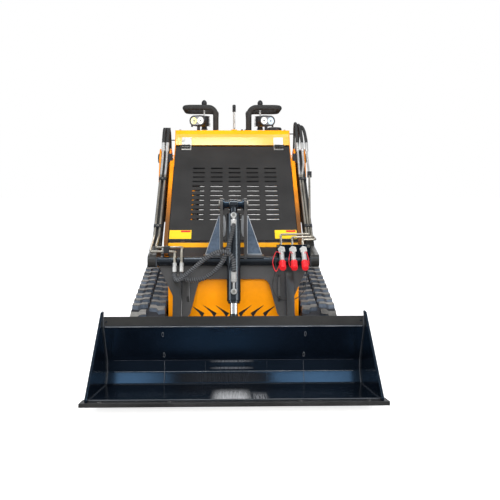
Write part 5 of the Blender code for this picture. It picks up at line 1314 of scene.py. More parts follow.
@dataclass
class Cylinder:
    """Hydraulic cylinder: barrel with gland and ports, and a chrome rod with an eye."""

    name: str
    x: float
    pins: tuple[Place, Place]
    radius: float
    start: float
    end: float
    rod_radius: float
    eye: float
    width: float
    bore: float = 0.0115
    ports: tuple = ()
    inner: float = 0.05
    tail: str = ""

    def build(self) -> None:
        """Make the barrel and the rod."""
        way, length = way_between(*self.pins)
        axis = Vector((0.0, *way))
        start = at(self.x, *self.pins[0])
        r, gap = self.radius, 0.0006
        barrel = Piece(self.name + "_cylinder")
        bore, end = self.rod_radius + gap, self.end
        profile = [(bore, end - 0.02), (bore, end), (r * 0.8, end), (r * 0.86, end - 0.002),
                   (r * 0.86, end - 0.01), (r * 0.98, end - 0.011), (r, end - 0.013), (r, end - 0.028),
                   (r * 0.985, end - 0.029), (r * 0.985, end - 0.031), (r, end - 0.032),
                   (r, self.start + 0.004), (r * 0.93, self.start), (self.width * 0.47, self.start - 0.006),
                   (self.width * 0.45, self.eye * 0.6)]
        barrel.lathe(profile, start, axis, TUBE_BLACK, 40)
        self.add_eye(barrel, start, TUBE_BLACK)
        front = Vector((0.0, -axis.z, axis.y)) * (-1.0 if -axis.z > 0 else 1.0)
        for distance, run, stem in self.ports:
            self.add_port(barrel, start + axis * distance + front * (r - 0.003), front, run, stem)
        body = f"{self.name}_barrel{self.tail}"
        barrel.done(body, body)
        rod = Piece(self.name + "_piston_rod")
        shaft, eye, neck = self.rod_radius, self.eye, self.width * 0.47
        rod.lathe([(shaft * 0.9, self.inner - 0.005), (shaft, self.inner), (shaft, length - eye * 1.5),
                   (shaft * 0.92, length - eye * 1.4)], start, axis, CHROME, 36)
        rod.lathe([(self.width * 0.42, length - eye * 1.55), (neck, length - eye * 1.5),
                   (neck, length - eye * 0.6)], start, axis, TUBE_BLACK, 28)
        self.add_eye(rod, at(self.x, *self.pins[1]), TUBE_BLACK)
        body = f"{self.name}_rod{self.tail}"
        rod.done(body, body)

    @staticmethod
    def add_port(barrel: Piece, spot: Vector, front: Vector, run: float, stem: float) -> None:
        """Banjo fitting on the barrel with a crimped hose end.

        Args:
            barrel: The barrel's piece.
            spot: Place of the port on the barrel.
            front: Way out of the port.
            run: Length of the hose end, which points down where it is negative.
            stem: Length of its bare neck.
        """
        way = UP if run > 0.0 else -UP
        neck, length = spot + front * 0.012 + way * 0.011, abs(run)
        barrel.lathe([(0.0046, 0.0), (0.005, 0.002), (0.005, stem), (0.0046, stem + 0.001)], neck, way,
                     BRIGHT, 16)
        crimp = [(0.006, stem), (0.01, stem + 0.002), (0.0124, stem + 0.005)]
        for k in range(4):
            s = stem + 0.006 + (length - stem - 0.008) * k / 4
            crimp += [(0.013, s), (0.013, s + 0.005), (0.012, s + 0.006)]
        barrel.lathe([*crimp, (0.0122, length - 0.001), (0.01, length)], neck, way, BRIGHT, 24)
        barrel.lathe([(0.015, 0.0), (0.015, 0.004), (0.0125, 0.007)], spot, front, TUBE_BLACK, 24)
        banjo = [(0.0118, 0.005), (0.0135, 0.007), (0.0138, 0.012), (0.0135, 0.017), (0.0118, 0.019)]
        barrel.lathe(banjo, spot, front, BRIGHT, 28)
        barrel.lathe([(0.0085, 0.018), (0.0085, 0.0225), (0.0074, 0.0235)], spot, front, STEEL, 6)

    def add_eye(self, piece: Piece, place: Vector, look: Look) -> None:
        """Ring round the pin with a bushing."""
        half = self.width / 2
        profile = ((self.bore, -half), (self.eye - 0.001, -half), (self.eye, -half + 0.001),
                   (self.eye, half - 0.001), (self.eye - 0.001, half), (self.bore, half))
        rows = [[place + Vector((x, c, s)) for c, s in circle(32, r)] for r, x in profile]
        piece.rings(rows, look, loop=True, caps=False)


@dataclass
class Plumbing:
    """Steel pipes, clamps, fittings, wrapped hoses, hose loops, couplers and caps."""

    pipe: float = 0.0055
    bend: float = 0.018
    knee: Place = (0.95, 0.562)
    top: Place = (1.575, 1.04)
    crimp_low: Place = (1.545, 1.052)
    crimp_high: Place = (1.58, 1.096)
    left_xs: tuple = (0.3893, 0.3667)
    right_xs: tuple = (0.39, 0.3775, 0.364)
    right_tops: tuple = (0.417, 0.393, 0.366)
    coupler_xs: tuple = (0.2225, 0.2754, 0.3246)
    fitting_xs: tuple = (0.27, 0.238)
    fitting: Place = (0.702, 0.505)
    crimp_end: Place = (0.694, 0.466)
    coupler: Place = (0.757, 0.562)
    coupler_way: Place = (-0.8, -0.6)
    over: float = 0.012
    clamp_backs: Place = (1.06, 1.37)
    loop_end: float = 1.785
    straps: tuple = ((-0.03, 0.036), (-0.016, 0.018), (0.012, 0.008))

    def arm_top(self, back: float, rise: float = 0.0) -> float:
        """Height of a line over the arm's sloping top edge."""
        share = (back - self.knee[0]) / (self.top[0] - self.knee[0])
        return self.knee[1] + share * (self.top[1] - self.knee[1]) + rise

    def over_arm(self, x: float, back: float) -> Vector:
        """Point on a pipe's axis where it lies on the arm's top edge."""
        return at(x, back, self.arm_top(back, self.over))

    def add_pipe(self, piece: Piece, route: Sequence[Vector], upper: Sequence[Vector]) -> None:
        """Bent pipe, with a bright tube over its upper part as a painted highlight."""
        piece.tube(rounded(route, self.bend, 8), self.pipe, PIPE, 16)
        # Painted highlight: the upper part is sleeved in brighter metal.
        piece.tube(rounded(upper, self.bend, 8), self.pipe + 0.0005, BRIGHT, 16)

    def build(self) -> None:
        """Make every pipe, hose and fitting."""
        self.build_left_pipes()
        self.build_right_pipes()
        self.build_coupler_bank()
        self.build_tilt_hoses()
        self.build_loops()

    def sleeve(self, piece: Piece, start: Vector, end: Vector, radius: float) -> None:
        """Crimped hose end: a nut, a neck and a ridged sleeve."""
        way = end - start
        length = way.length
        piece.lathe([(radius * 0.95, -0.003), (radius * 1.02, 0.0), (radius * 1.02, length * 0.26),
                     (radius * 0.9, length * 0.3)], start, way, BRIGHT, 6)
        profile = [(radius * 0.6, length * 0.28), (radius * 0.85, length * 0.36)]
        for i in range(6):
            s = length * (0.38 + 0.1 * i)
            profile += [(radius, s), (radius, s + length * 0.06), (radius * 0.9, s + length * 0.07),
                        (radius * 0.9, s + length * 0.09)]
        profile += [(radius * 0.8, length * 0.995)]
        piece.lathe(profile, start, way, BRIGHT, 24)

    def clamps(self, piece: Piece, side: float) -> None:
        """Clamp blocks on one arm with their bolts."""
        way, _ = way_between(self.knee, self.top)
        low, high = sorted((side * 0.3586, side * 0.3974))
        for back in self.clamp_backs:
            foot = (back, self.arm_top(back))
            corners = [along(foot, way, s, off) for s, off in oblong(-0.01, 0.01, 0.0004, 0.017)]
            piece.slab(corners, SIDE_VIEW, low, high, GRIP, 0.0015)
            piece.bolt(at(side * 0.378, *along(foot, way, 0.0, 0.0168)), Vector((0.0, -way[1], way[0])),
                       0.0042)

    def build_left_pipes(self) -> None:
        """Pair of pipes from the tower hoses down to the wrapped hoses."""
        piece = Piece("pipes_left")
        for x, end_x, back, up in zip(self.left_xs, self.fitting_xs, (0.778, 0.822), (0.552, 0.568)):
            route = [at(-x, *self.crimp_low), self.over_arm(-x, 1.5), self.over_arm(-x, 1.0),
                     at(-x, back, up), at(-end_x, back, up), at(-end_x, self.fitting[0] + 0.01, up),
                     at(-end_x, *self.fitting)]
            self.add_pipe(piece, route, [*route[:2], self.over_arm(-x, 1.395)])
            self.sleeve(piece, at(-end_x, *self.fitting), at(-end_x, *self.crimp_end), 0.0095)
            self.sleeve(piece, at(-x, *self.crimp_low), at(-x, *self.crimp_high), 0.0095)
        self.clamps(piece, -1.0)
        piece.block((-0.327, -0.3), (0.772, 0.828), (0.5455, 0.575), GRIP, 0.002)
        piece.bolt(at(-0.3135, 0.8, 0.5745), UP, 0.0045)
        piece.done("lift_arms", "arm_pipes_left")

    def build_right_pipes(self) -> None:
        """Three pipes from the tower hoses to the couplers."""
        piece = Piece("pipes_right")
        behind, level = self.coupler[0] + 0.0066, self.coupler[1]
        for x, top_x, end_x in zip(self.right_xs, self.right_tops, reversed(self.coupler_xs)):
            step = self.right_xs[0] - x
            turn_up, turn_back = level + 0.03 + step * 0.9, 0.835 + step
            outer = x == self.right_xs[0]
            route = [at(top_x, *self.crimp_low), self.over_arm(top_x, 1.475),
                     self.over_arm(top_x if outer else x, 1.396), self.over_arm(x, 1.1 if outer else 1.388),
                     self.over_arm(x, 1.0), at(x, turn_back, turn_up + 0.012),
                     at(end_x, turn_back - 0.03, turn_up + 0.012), at(end_x, behind + 0.03, turn_up),
                     at(end_x, behind + 0.022, level), at(end_x, behind, level)]
            self.add_pipe(piece, route, route[:3])
            piece.lathe([(0.0095, 0.0), (0.01, 0.001), (0.01, 0.01), (0.0085, 0.012)],
                        at(end_x, behind, level), -FORWARD, BRIGHT, 6)
            self.sleeve(piece, at(top_x, *self.crimp_low), at(top_x, *self.crimp_high), 0.0092)
        self.clamps(piece, 1.0)
        up = self.arm_top(1.398, self.over)
        piece.block((0.4065, 0.429), (1.386, 1.41), (up - 0.016, up + 0.018), GRIP, 0.002)
        piece.done("lift_arms", "arm_pipes_right")

    def build_coupler_bank(self) -> None:
        """Plate with three quick couplers, and the red caps on their lanyards."""
        bank = Piece("coupler_bank")
        front, up = self.coupler
        bank.block((0.2, 0.3577), (front, front + 0.006), (0.5283, 0.585), BLACK, 0.0015)
        for x in (0.209, 0.349):
            bank.bolt(at(x, front, 0.577), FORWARD, 0.005)
        caps = Piece("coupler_caps")
        way = Vector((0.0, *self.coupler_way))
        for x, strap in zip(self.coupler_xs, self.straps):
            root = at(x, front, up)
            bank.lathe([(0.0175, 0.0), (0.018, 0.001), (0.018, 0.0125), (0.016, 0.014)], root, FORWARD,
                       BRIGHT, 6)
            start = root + way * 0.009
            bank.lathe([(0.0085, 0.0), (0.0085, 0.012), (0.011, 0.013), (0.011, 0.024), (0.0095, 0.026),
                        (0.0095, 0.03), (0.0112, 0.031), (0.0112, 0.046), (0.01, 0.048), (0.01, 0.052),
                        (0.011, 0.053), (0.011, 0.07), (0.0096, 0.074)], start, way, BRIGHT, 28)
            cap = root + way * 0.0853
            r = 0.0165
            caps.lathe([(r * 0.7, 0.0), (r, 0.001), (r, 0.01), (r * 0.9, 0.012), (r * 0.9, 0.018),
                        (r * 0.98, 0.02), (r * 0.92, 0.038), (r * 0.86, 0.043), (r * 0.6, 0.045)], cap, way,
                       RED, 28)
            for c, s in circle(10):
                u = ACROSS * c + way.cross(ACROSS) * s
                caps.tube([cap + u * (r * 0.93) + way * 0.021, cap + u * (r * 0.86) + way * 0.04], 0.0012,
                          RED, 6)
            self.lanyard(caps, cap + way * 0.006, root + way * 0.03, *strap)
        bank.done("lift_arms", "coupler_plate")
        caps.done("lift_arms", "dust_caps")
        self.cable()

    def lanyard(self, piece: Piece, cap: Vector, neck: Vector, lean: float, drop: float) -> None:
        """Red strap that loops aside and down from a cap's collar to its coupler's neck."""
        out = Vector((0.0, -0.016, 0.0))
        route = [cap + Vector((lean * 0.4, -0.014, 0.0)), cap + Vector((lean, 0.0, -drop)) + out,
                 cap + Vector((lean * 1.5, 0.006, 0.004)) + out, neck + Vector((lean * 0.9, -0.01, 0.01)),
                 neck + Vector((lean * 0.2, -0.013, 0.002)), neck + Vector((0.008, -0.011, -0.004))]
        piece.tube(smooth_path(route, 0.004), 0.0016, RED, 8)

    def cable(self) -> None:
        """Thin black electric cable that hangs in a loop under the couplers."""
        piece = Piece("coupler_cable")
        route = [at(0.196, 0.745, 0.53), at(0.19, 0.7, 0.47), at(0.178, 0.69, 0.4), at(0.2, 0.68, 0.352),
                 at(0.262, 0.676, 0.336), at(0.318, 0.69, 0.372), at(0.338, 0.72, 0.44),
                 at(0.342, 0.745, 0.52)]
        piece.tube(smooth_path(route, 0.006), 0.0021, HOSE, 8)
        piece.done("lift_arms")

    def wrapped(self, name: str, route: Sequence[Vector], radius: float, node: str,
                ends: tuple[str, str, Vector, Vector]) -> None:
        """Hose in a spiral guard.

        Args:
            name: Piece name.
            route: Points of its run.
            radius: Radius over the guard.
            node: CAD node that it replaces.
            ends: Two bodies and the places where it follows each.
        """
        path = smooth_path(route, 0.0011)
        pitch, inner = 0.0105, radius * 0.8
        piece = Piece(name).tube(path[::2] + path[-1:], inner, HOSE, 16)
        coil = []
        for point, normal, side, distance in frames(path):
            angle = 2 * math.pi * distance / pitch
            coil.append(point + (normal * math.cos(angle) + side * math.sin(angle)) * inner)
        piece.tube(coil[2:-2], radius - inner + 0.0004, WRAP, 6)
        piece.soft_deg = 70
        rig.blend(piece.done("", node), ends[0], ends[1], start=ends[2], end=ends[3])

    def build_tilt_hoses(self) -> None:
        """The two wrapped hoses between the left pipes and the tilt cylinder."""
        mast = TILT_PINS[0]
        way, _ = way_between(*TILT_PINS)
        reach, guard = 0.0608, 0.0105
        low = at(0.0, *along(mast, way, 0.414, -reach)) + UP * 0.084
        top = at(0.0, *along(mast, way, 0.062, -reach)) - UP * 0.042
        down, _ = way_between(self.fitting, self.crimp_end)
        starts = [[at(-x, *along(self.crimp_end, down, s)) for s in (0.0006, 0.014)] for x in self.fitting_xs]
        first = [*starts[0], at(-0.256, 0.668, 0.432), at(-0.205, 0.64, 0.468), at(-0.135, 0.622, 0.528),
                 at(-0.07, 0.606, 0.566), at(-0.022, 0.596, 0.56), at(-0.003, 0.588, 0.53),
                 low + Vector((0, 0.002, 0.02)), low]
        second = [*starts[1], at(-0.212, 0.668, 0.434), at(-0.14, 0.652, 0.44), at(-0.08, 0.64, 0.482),
                  at(-0.04, 0.634, 0.54), at(-0.02, 0.644, 0.6), at(-0.006, 0.668, 0.65),
                  top + Vector((0, -0.001, -0.012)), top]
        self.wrapped("hose_lower_guard", first, guard, "tilt_hose_lower",
                     ("lift_arms", "tilt_barrel", at(-0.2, 0.64, 0.47), at(-0.02, 0.59, 0.54)))
        self.wrapped("hose_upper_guard", second, guard, "tilt_hose_upper",
                     ("lift_arms", "tilt_barrel", at(-0.2, 0.66, 0.44), at(-0.02, 0.64, 0.6)))

    def build_loops(self) -> None:
        """Hose loops over the towers."""
        way, _ = way_between(self.crimp_low, self.crimp_high)
        sets = (("left", -1.0, self.left_xs, self.left_xs, 0.0098, 0.0098, 0.004, 0.0),
                ("right", 1.0, self.right_xs, self.right_tops, 0.0092, 0.006, 0.03, 0.009))
        for word, side, xs, tops, radius, far_radius, rise, nest in sets:
            piece = Piece("tower_hoses_" + word)
            for i, (x, top_x) in enumerate(zip(xs, tops)):
                above = nest * (i - 1)
                route = [at(side * top_x, *along(self.crimp_high, way, s)) for s in (0.0006, 0.026)]
                for back, up, share, lift in ((1.64, 1.16, 0.72, 0.5), (1.69, 1.175, 0.25, 1.0),
                                              (1.74, 1.15, 0.0, 0.9), (1.772, 1.095, 0.0, 0.4)):
                    route.append(at(side * (x + (top_x - x) * share), back, up + (rise + above) * lift))
                route += [at(side * x, self.loop_end, up) for up in (1.03, 0.985, 0.962)]
                path = smooth_path(route, 0.0035)
                length = sum((b - a).length for a, b in zip(path, path[1:]))

                def shape(s: float, r: float = radius, f: float = far_radius, whole: float = length) -> float:
                    """Ribbed cover, thinner where the hoses lie side by side."""
                    share = min(1.0, max(0.0, (s / whole - 0.42) / 0.2))
                    return (r + (f - r) * share) * (1.0 - 0.09 * (math.sin(s * 900.0) > 0.2))

                piece.tube(path, shape, HOSE, 16)
                steps = ((0.8, 0.0), (0.84, 0.002), (0.84, 0.03), (0.7, 0.032))
                ferrule = [(far_radius * share, up) for share, up in steps]
                piece.lathe(ferrule, at(side * x, self.loop_end, 0.9605), UP, BRIGHT, 16)
            if not nest:
                low, high = sorted((side * 0.357, side * 0.399))
                piece.block((low, high), (1.685, 1.695), (1.165 + rise, 1.185 + rise), GRIP, 0.002)
            made = piece.done("", "lift_hoses_" + word)
            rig.blend(made, "lift_arms", "chassis", start=at(side * 0.38, 1.62, 1.13),
                     end=at(side * 0.38, 1.76, 1.08))


@dataclass
class Body:
    """Hood, cowl, covers, side panels, towers, chassis and what lies inside."""

    top: Place = (1.591, 1.081)
    foot: Place = (1.009, 0.586)
    fold: Place = (1.621, 1.132)
    brow: Place = (1.597, 1.086)
    deck: float = 1.171
    hinge_x: float = 0.26
    hinge_half: float = 0.027
    fitting_face: float = 0.412
    rear_face: float = 2.03
    reflector: Place = (0.264, 0.69)

    def build(self) -> None:
        """Make every piece of the body."""
        self.build_hood()
        self.build_cowl()
        self.build_covers()
        self.build_towers()
        self.build_chassis()
        self.build_insides()

    def hood_point(self, x: float, down: float, off: float = 0.0) -> Vector:
        """Point on the hood's face, off inward."""
        return at(x, *along(self.top, way_between(self.top, self.foot)[0], down, off))

    def build_hood(self) -> None:
        """Slotted door, with two butt hinges and two plain reflectors."""
        Piece("grille_door").node("hood_door", GREY, 0.0007, 2, 30.0).done("hood_door", "hood_door")
        matrix = slope_matrix(self.top, self.foot)
        hinges = Piece("hood_hinges")
        for side in (-1.0, 1.0):
            x = side * self.hinge_x
            knuckle = mirrored([(0.003, 0.0), (0.0048, 0.0005)], 0.0103)
            for k in range(5):
                hinges.lathe(knuckle, at(x - self.hinge_half + k * 0.011, *self.top), ACROSS, LEAF, 20)
            leaf = oblong(x - self.hinge_half, x + self.hinge_half, 0.006, 0.04)
            hinges.slab(leaf, matrix, -0.003, -0.0004, LEAF, 0.0005)
            for dx in (-0.015, 0.0, 0.015):
                hinges.bolt(self.hood_point(x + dx, 0.026, -0.003), -matrix.col[2].xyz, 0.0042, GREY)
            u, row = side * self.reflector[0], self.reflector[1]
            hinges.slab(oblong(u - 0.055, u + 0.055, row, row + 0.062), matrix, -0.0009, -0.0001,
                        PLATE_YELLOW, 0.0003)
            bar = oblong(u + 0.002, u + 0.05, row + 0.003, row + 0.015)
            hinges.slab(bar, matrix, -0.0012, -0.0008, RED, 0.0001)
        hinges.done("hood_door")

    def build_cowl(self) -> None:
        """Folded top cowl, its hinge leaves and a plain instrument panel on the deck; its band is paler than the deck,
        partly a painted sheen.
        """
        piece = Piece("cowl").node("top_cowl", BAND, 0.001)
        piece.repaint(TOP, lambda p: p.z > 1.135 or p.y > 0.45)
        # A thin strip of band paint runs up past the fold: a painted sheen.
        edge_way, _ = way_between(self.fold, (1.634, self.deck))
        sheen = [along(self.fold, edge_way, s, off) for s, off in oblong(0.0, 0.0165, 0.0, 0.0005)]
        piece.slab(sheen, SIDE_VIEW, -0.3215, 0.3215, BAND, 0.0001)
        piece.done("chassis", "top_cowl")
        fixed = Piece("deck_fittings")
        matrix = slope_matrix(self.fold, self.brow)
        down_way, _ = way_between(self.fold, self.brow)
        for x in (-self.hinge_x, self.hinge_x):
            leaf = oblong(x - self.hinge_half, x + self.hinge_half, 0.004, 0.0512)
            fixed.slab(leaf, matrix, -0.003, -0.0003, LEAF, 0.0005)
            for dx, down in ((-0.014, 0.016), (0.014, 0.016), (0.0, 0.03)):
                fixed.bolt(at(x + dx, *along(self.fold, down_way, down, 0.003)), -matrix.col[2].xyz, 0.0046,
                           GREY)
        z = self.deck
        fixed.block((-0.075, 0.1), (1.905, 2.01), (z, z + 0.016), GREY, 0.004)
        r = 0.022
        gauge = [(r, 0.0), (r * 1.05, 0.002), (r * 1.05, 0.006), (r * 0.9, 0.007), (r * 0.86, 0.004),
                 (r * 0.3, 0.004)]
        for x in (-0.04, 0.02):
            fixed.lathe(gauge, at(x, 1.965, z + 0.0155), UP, BRIGHT, 32)
        for x in (0.06, 0.082):
            fixed.lathe([(0.009, 0.0), (0.009, 0.004), (0.0065, 0.005), (0.0065, 0.012), (0.004, 0.013)],
                        at(x, 1.965, z + 0.0155), UP, GRIP, 20)
        fixed.lathe([(0.04, 0.0), (0.042, 0.002), (0.042, 0.016), (0.036, 0.022), (0.012, 0.024)],
                    at(0.245, 1.72, z), UP, GRIP, 36)
        for x in (-0.3, 0.3):
            for back in (1.665, 1.85, 2.005):
                fixed.bolt(at(x, back, z), UP, 0.006)
        for side, up in ((-1.0, 1.118), (1.0, 1.155)):
            fixed.tube([at(side * 0.321, 1.7, up), at(side * 0.3575, 1.7, up)], 0.003, HOSE, 12)
        fixed.done("chassis")

    def build_covers(self) -> None:
        """Low front cover with its orange strip, and the side panels."""
        piece = Piece("front_cover").node("lower_cover", APRON, 0.0008)
        piece.block((-0.322, 0.322), (1.0095, 1.0118), (0.5525, 0.575), STRIP, 0.0008)
        piece.done("chassis", "lower_cover")
        for word, side in SIDES:
            panel = Piece("flank_" + word).node("side_panel_" + word, FLANK, 0.0025, 3)
            panel.block((side * 0.3325, side * 0.355), (1.488, 1.502), (0.984, 1.034), GRIP, 0.003)
            for back, up in ((1.85, 0.6), (1.98, 0.6), (1.85, 1.0), (1.98, 1.0), (1.3, 0.6), (1.1, 0.56)):
                panel.bolt(at(side * 0.345, back, up), ACROSS * side, 0.007)
            for i in range(7):
                up = 0.72 + 0.035 * i
                panel.block((side * 0.3448, side * 0.347), (1.85, 1.985), (up, up + 0.016), GRIP, 0.001)
            panel.done("chassis", "side_panel_" + word)

    def build_towers(self) -> None:
        """Towers with pin heads and keeper bolts."""
        for word, side in SIDES:
            piece = Piece("mast_tower_" + word).node("tower_" + word, FLANK, 0.002)
            x, way = side * self.fitting_face, ACROSS * side
            for place, r in ((ARM_PIVOT, 0.026), (LIFT_PINS[0], 0.018)):
                head = [(r * 1.25, 0.0), (r * 1.3, 0.001), (r * 1.3, 0.004), (r, 0.005), (r, 0.009),
                        (r * 0.8, 0.011), (r * 0.2, 0.011)]
                piece.lathe(head, at(x, *place), way, BLACK, 32)
                piece.bolt(at(x, place[0] + r * 1.8, place[1] - r * 0.6), way, 0.006)
            piece.done("chassis", "tower_" + word)

    def build_chassis(self) -> None:
        """Tub, front panel with a dark sheet behind its vents as painted shade, and the rear panel's slats and bolts.
        """
        Piece("tub").node("chassis_frame", ORANGE, 0.0025, 3).done("chassis", "chassis_frame")
        panel = Piece("nose_panel").node("front_panel", ORANGE, 0.0006)
        # Painted shade: a dark sheet behind the vents.
        panel.block((-0.24, 0.24), (0.8063, 0.8072), (0.235, 0.325), GRIP, 0.0003)
        panel.done("chassis", "front_panel")
        rear = Piece("rear_details")
        for i in range(9):
            up = 0.62 + 0.045 * i
            rear.block((-0.2, 0.2), (self.rear_face, self.rear_face + 0.0025), (up, up + 0.022), GRIP, 0.001)
        for side in (-1.0, 1.0):
            for x, up, size in ((0.285, 0.56, 0.007), (0.285, 0.85, 0.007), (0.285, 1.13, 0.007),
                                (0.25, 0.42, 0.009)):
                rear.bolt(at(side * x, self.rear_face, up), -FORWARD, size)
        rear.done("chassis")

    def build_insides(self) -> None:
        """Engine with its fins, fan and pipes, the core behind the grille that glows as painted light, a dark sheet
        behind the top rows as painted shade, and the tank.
        """
        piece = Piece("engine").node("engine_block", CASTING, 0.004)
        for i in range(10):
            up = 0.575 + 0.022 * i
            piece.block((-0.128, 0.128), (1.35, 1.38), (up, up + 0.01), CASTING, 0.002)
        centre, sweep = at(0.0, 1.276, 0.56), FORWARD * 0.014
        for (ac, as_), (bc, bs) in zip(circle(9), circle(9, 1.0, 0.35)):
            a, b = Vector((ac, 0.0, as_)), Vector((bc, 0.0, bs))
            row = [centre + a * 0.03, centre + a * 0.142, centre + b * 0.142 + sweep,
                   centre + b * 0.03 + sweep]
            piece.rings([row, [p - FORWARD * 0.002 for p in row]], CASTING)
        for i, x in enumerate((-0.2, -0.1, 0.0, 0.1, 0.2)):
            piece.tube([at(x, 1.22 + 0.02 * (i % 2), 0.6), at(x * 1.05, 1.33, 0.78), at(x * 0.9, 1.45, 0.86)],
                       0.014, CASTING, 18)
        piece.done("chassis", "engine_block")
        core = Piece("radiator")
        matrix = slope_matrix(self.top, self.foot)
        # Painted light: glowing bars behind the lower rows of slots.
        for row in range(4, 12):
            down = 0.201 + 0.0369 * row
            core.slab(oblong(-0.176, 0.242, down - 0.0095, down - 0.0036), matrix, 0.009, 0.014, GLOWING_CORE,
                      0.0008)
        # Painted shade: a dark sheet behind the top four rows of slots.
        core.slab(oblong(-0.25, 0.27, 0.14, 0.305), matrix, 0.032, 0.035, GRIP, 0.001)
        core.slab([(-0.222, 0.37), (-0.204, 0.37), (-0.212, 0.64), (-0.23, 0.64)], matrix, 0.007, 0.011,
                  ORANGE, 0.001)
        core.done("chassis")
        Piece("oil_tank").node("hydraulic_tank", GREY, 0.003).done("chassis", "hydraulic_tank")


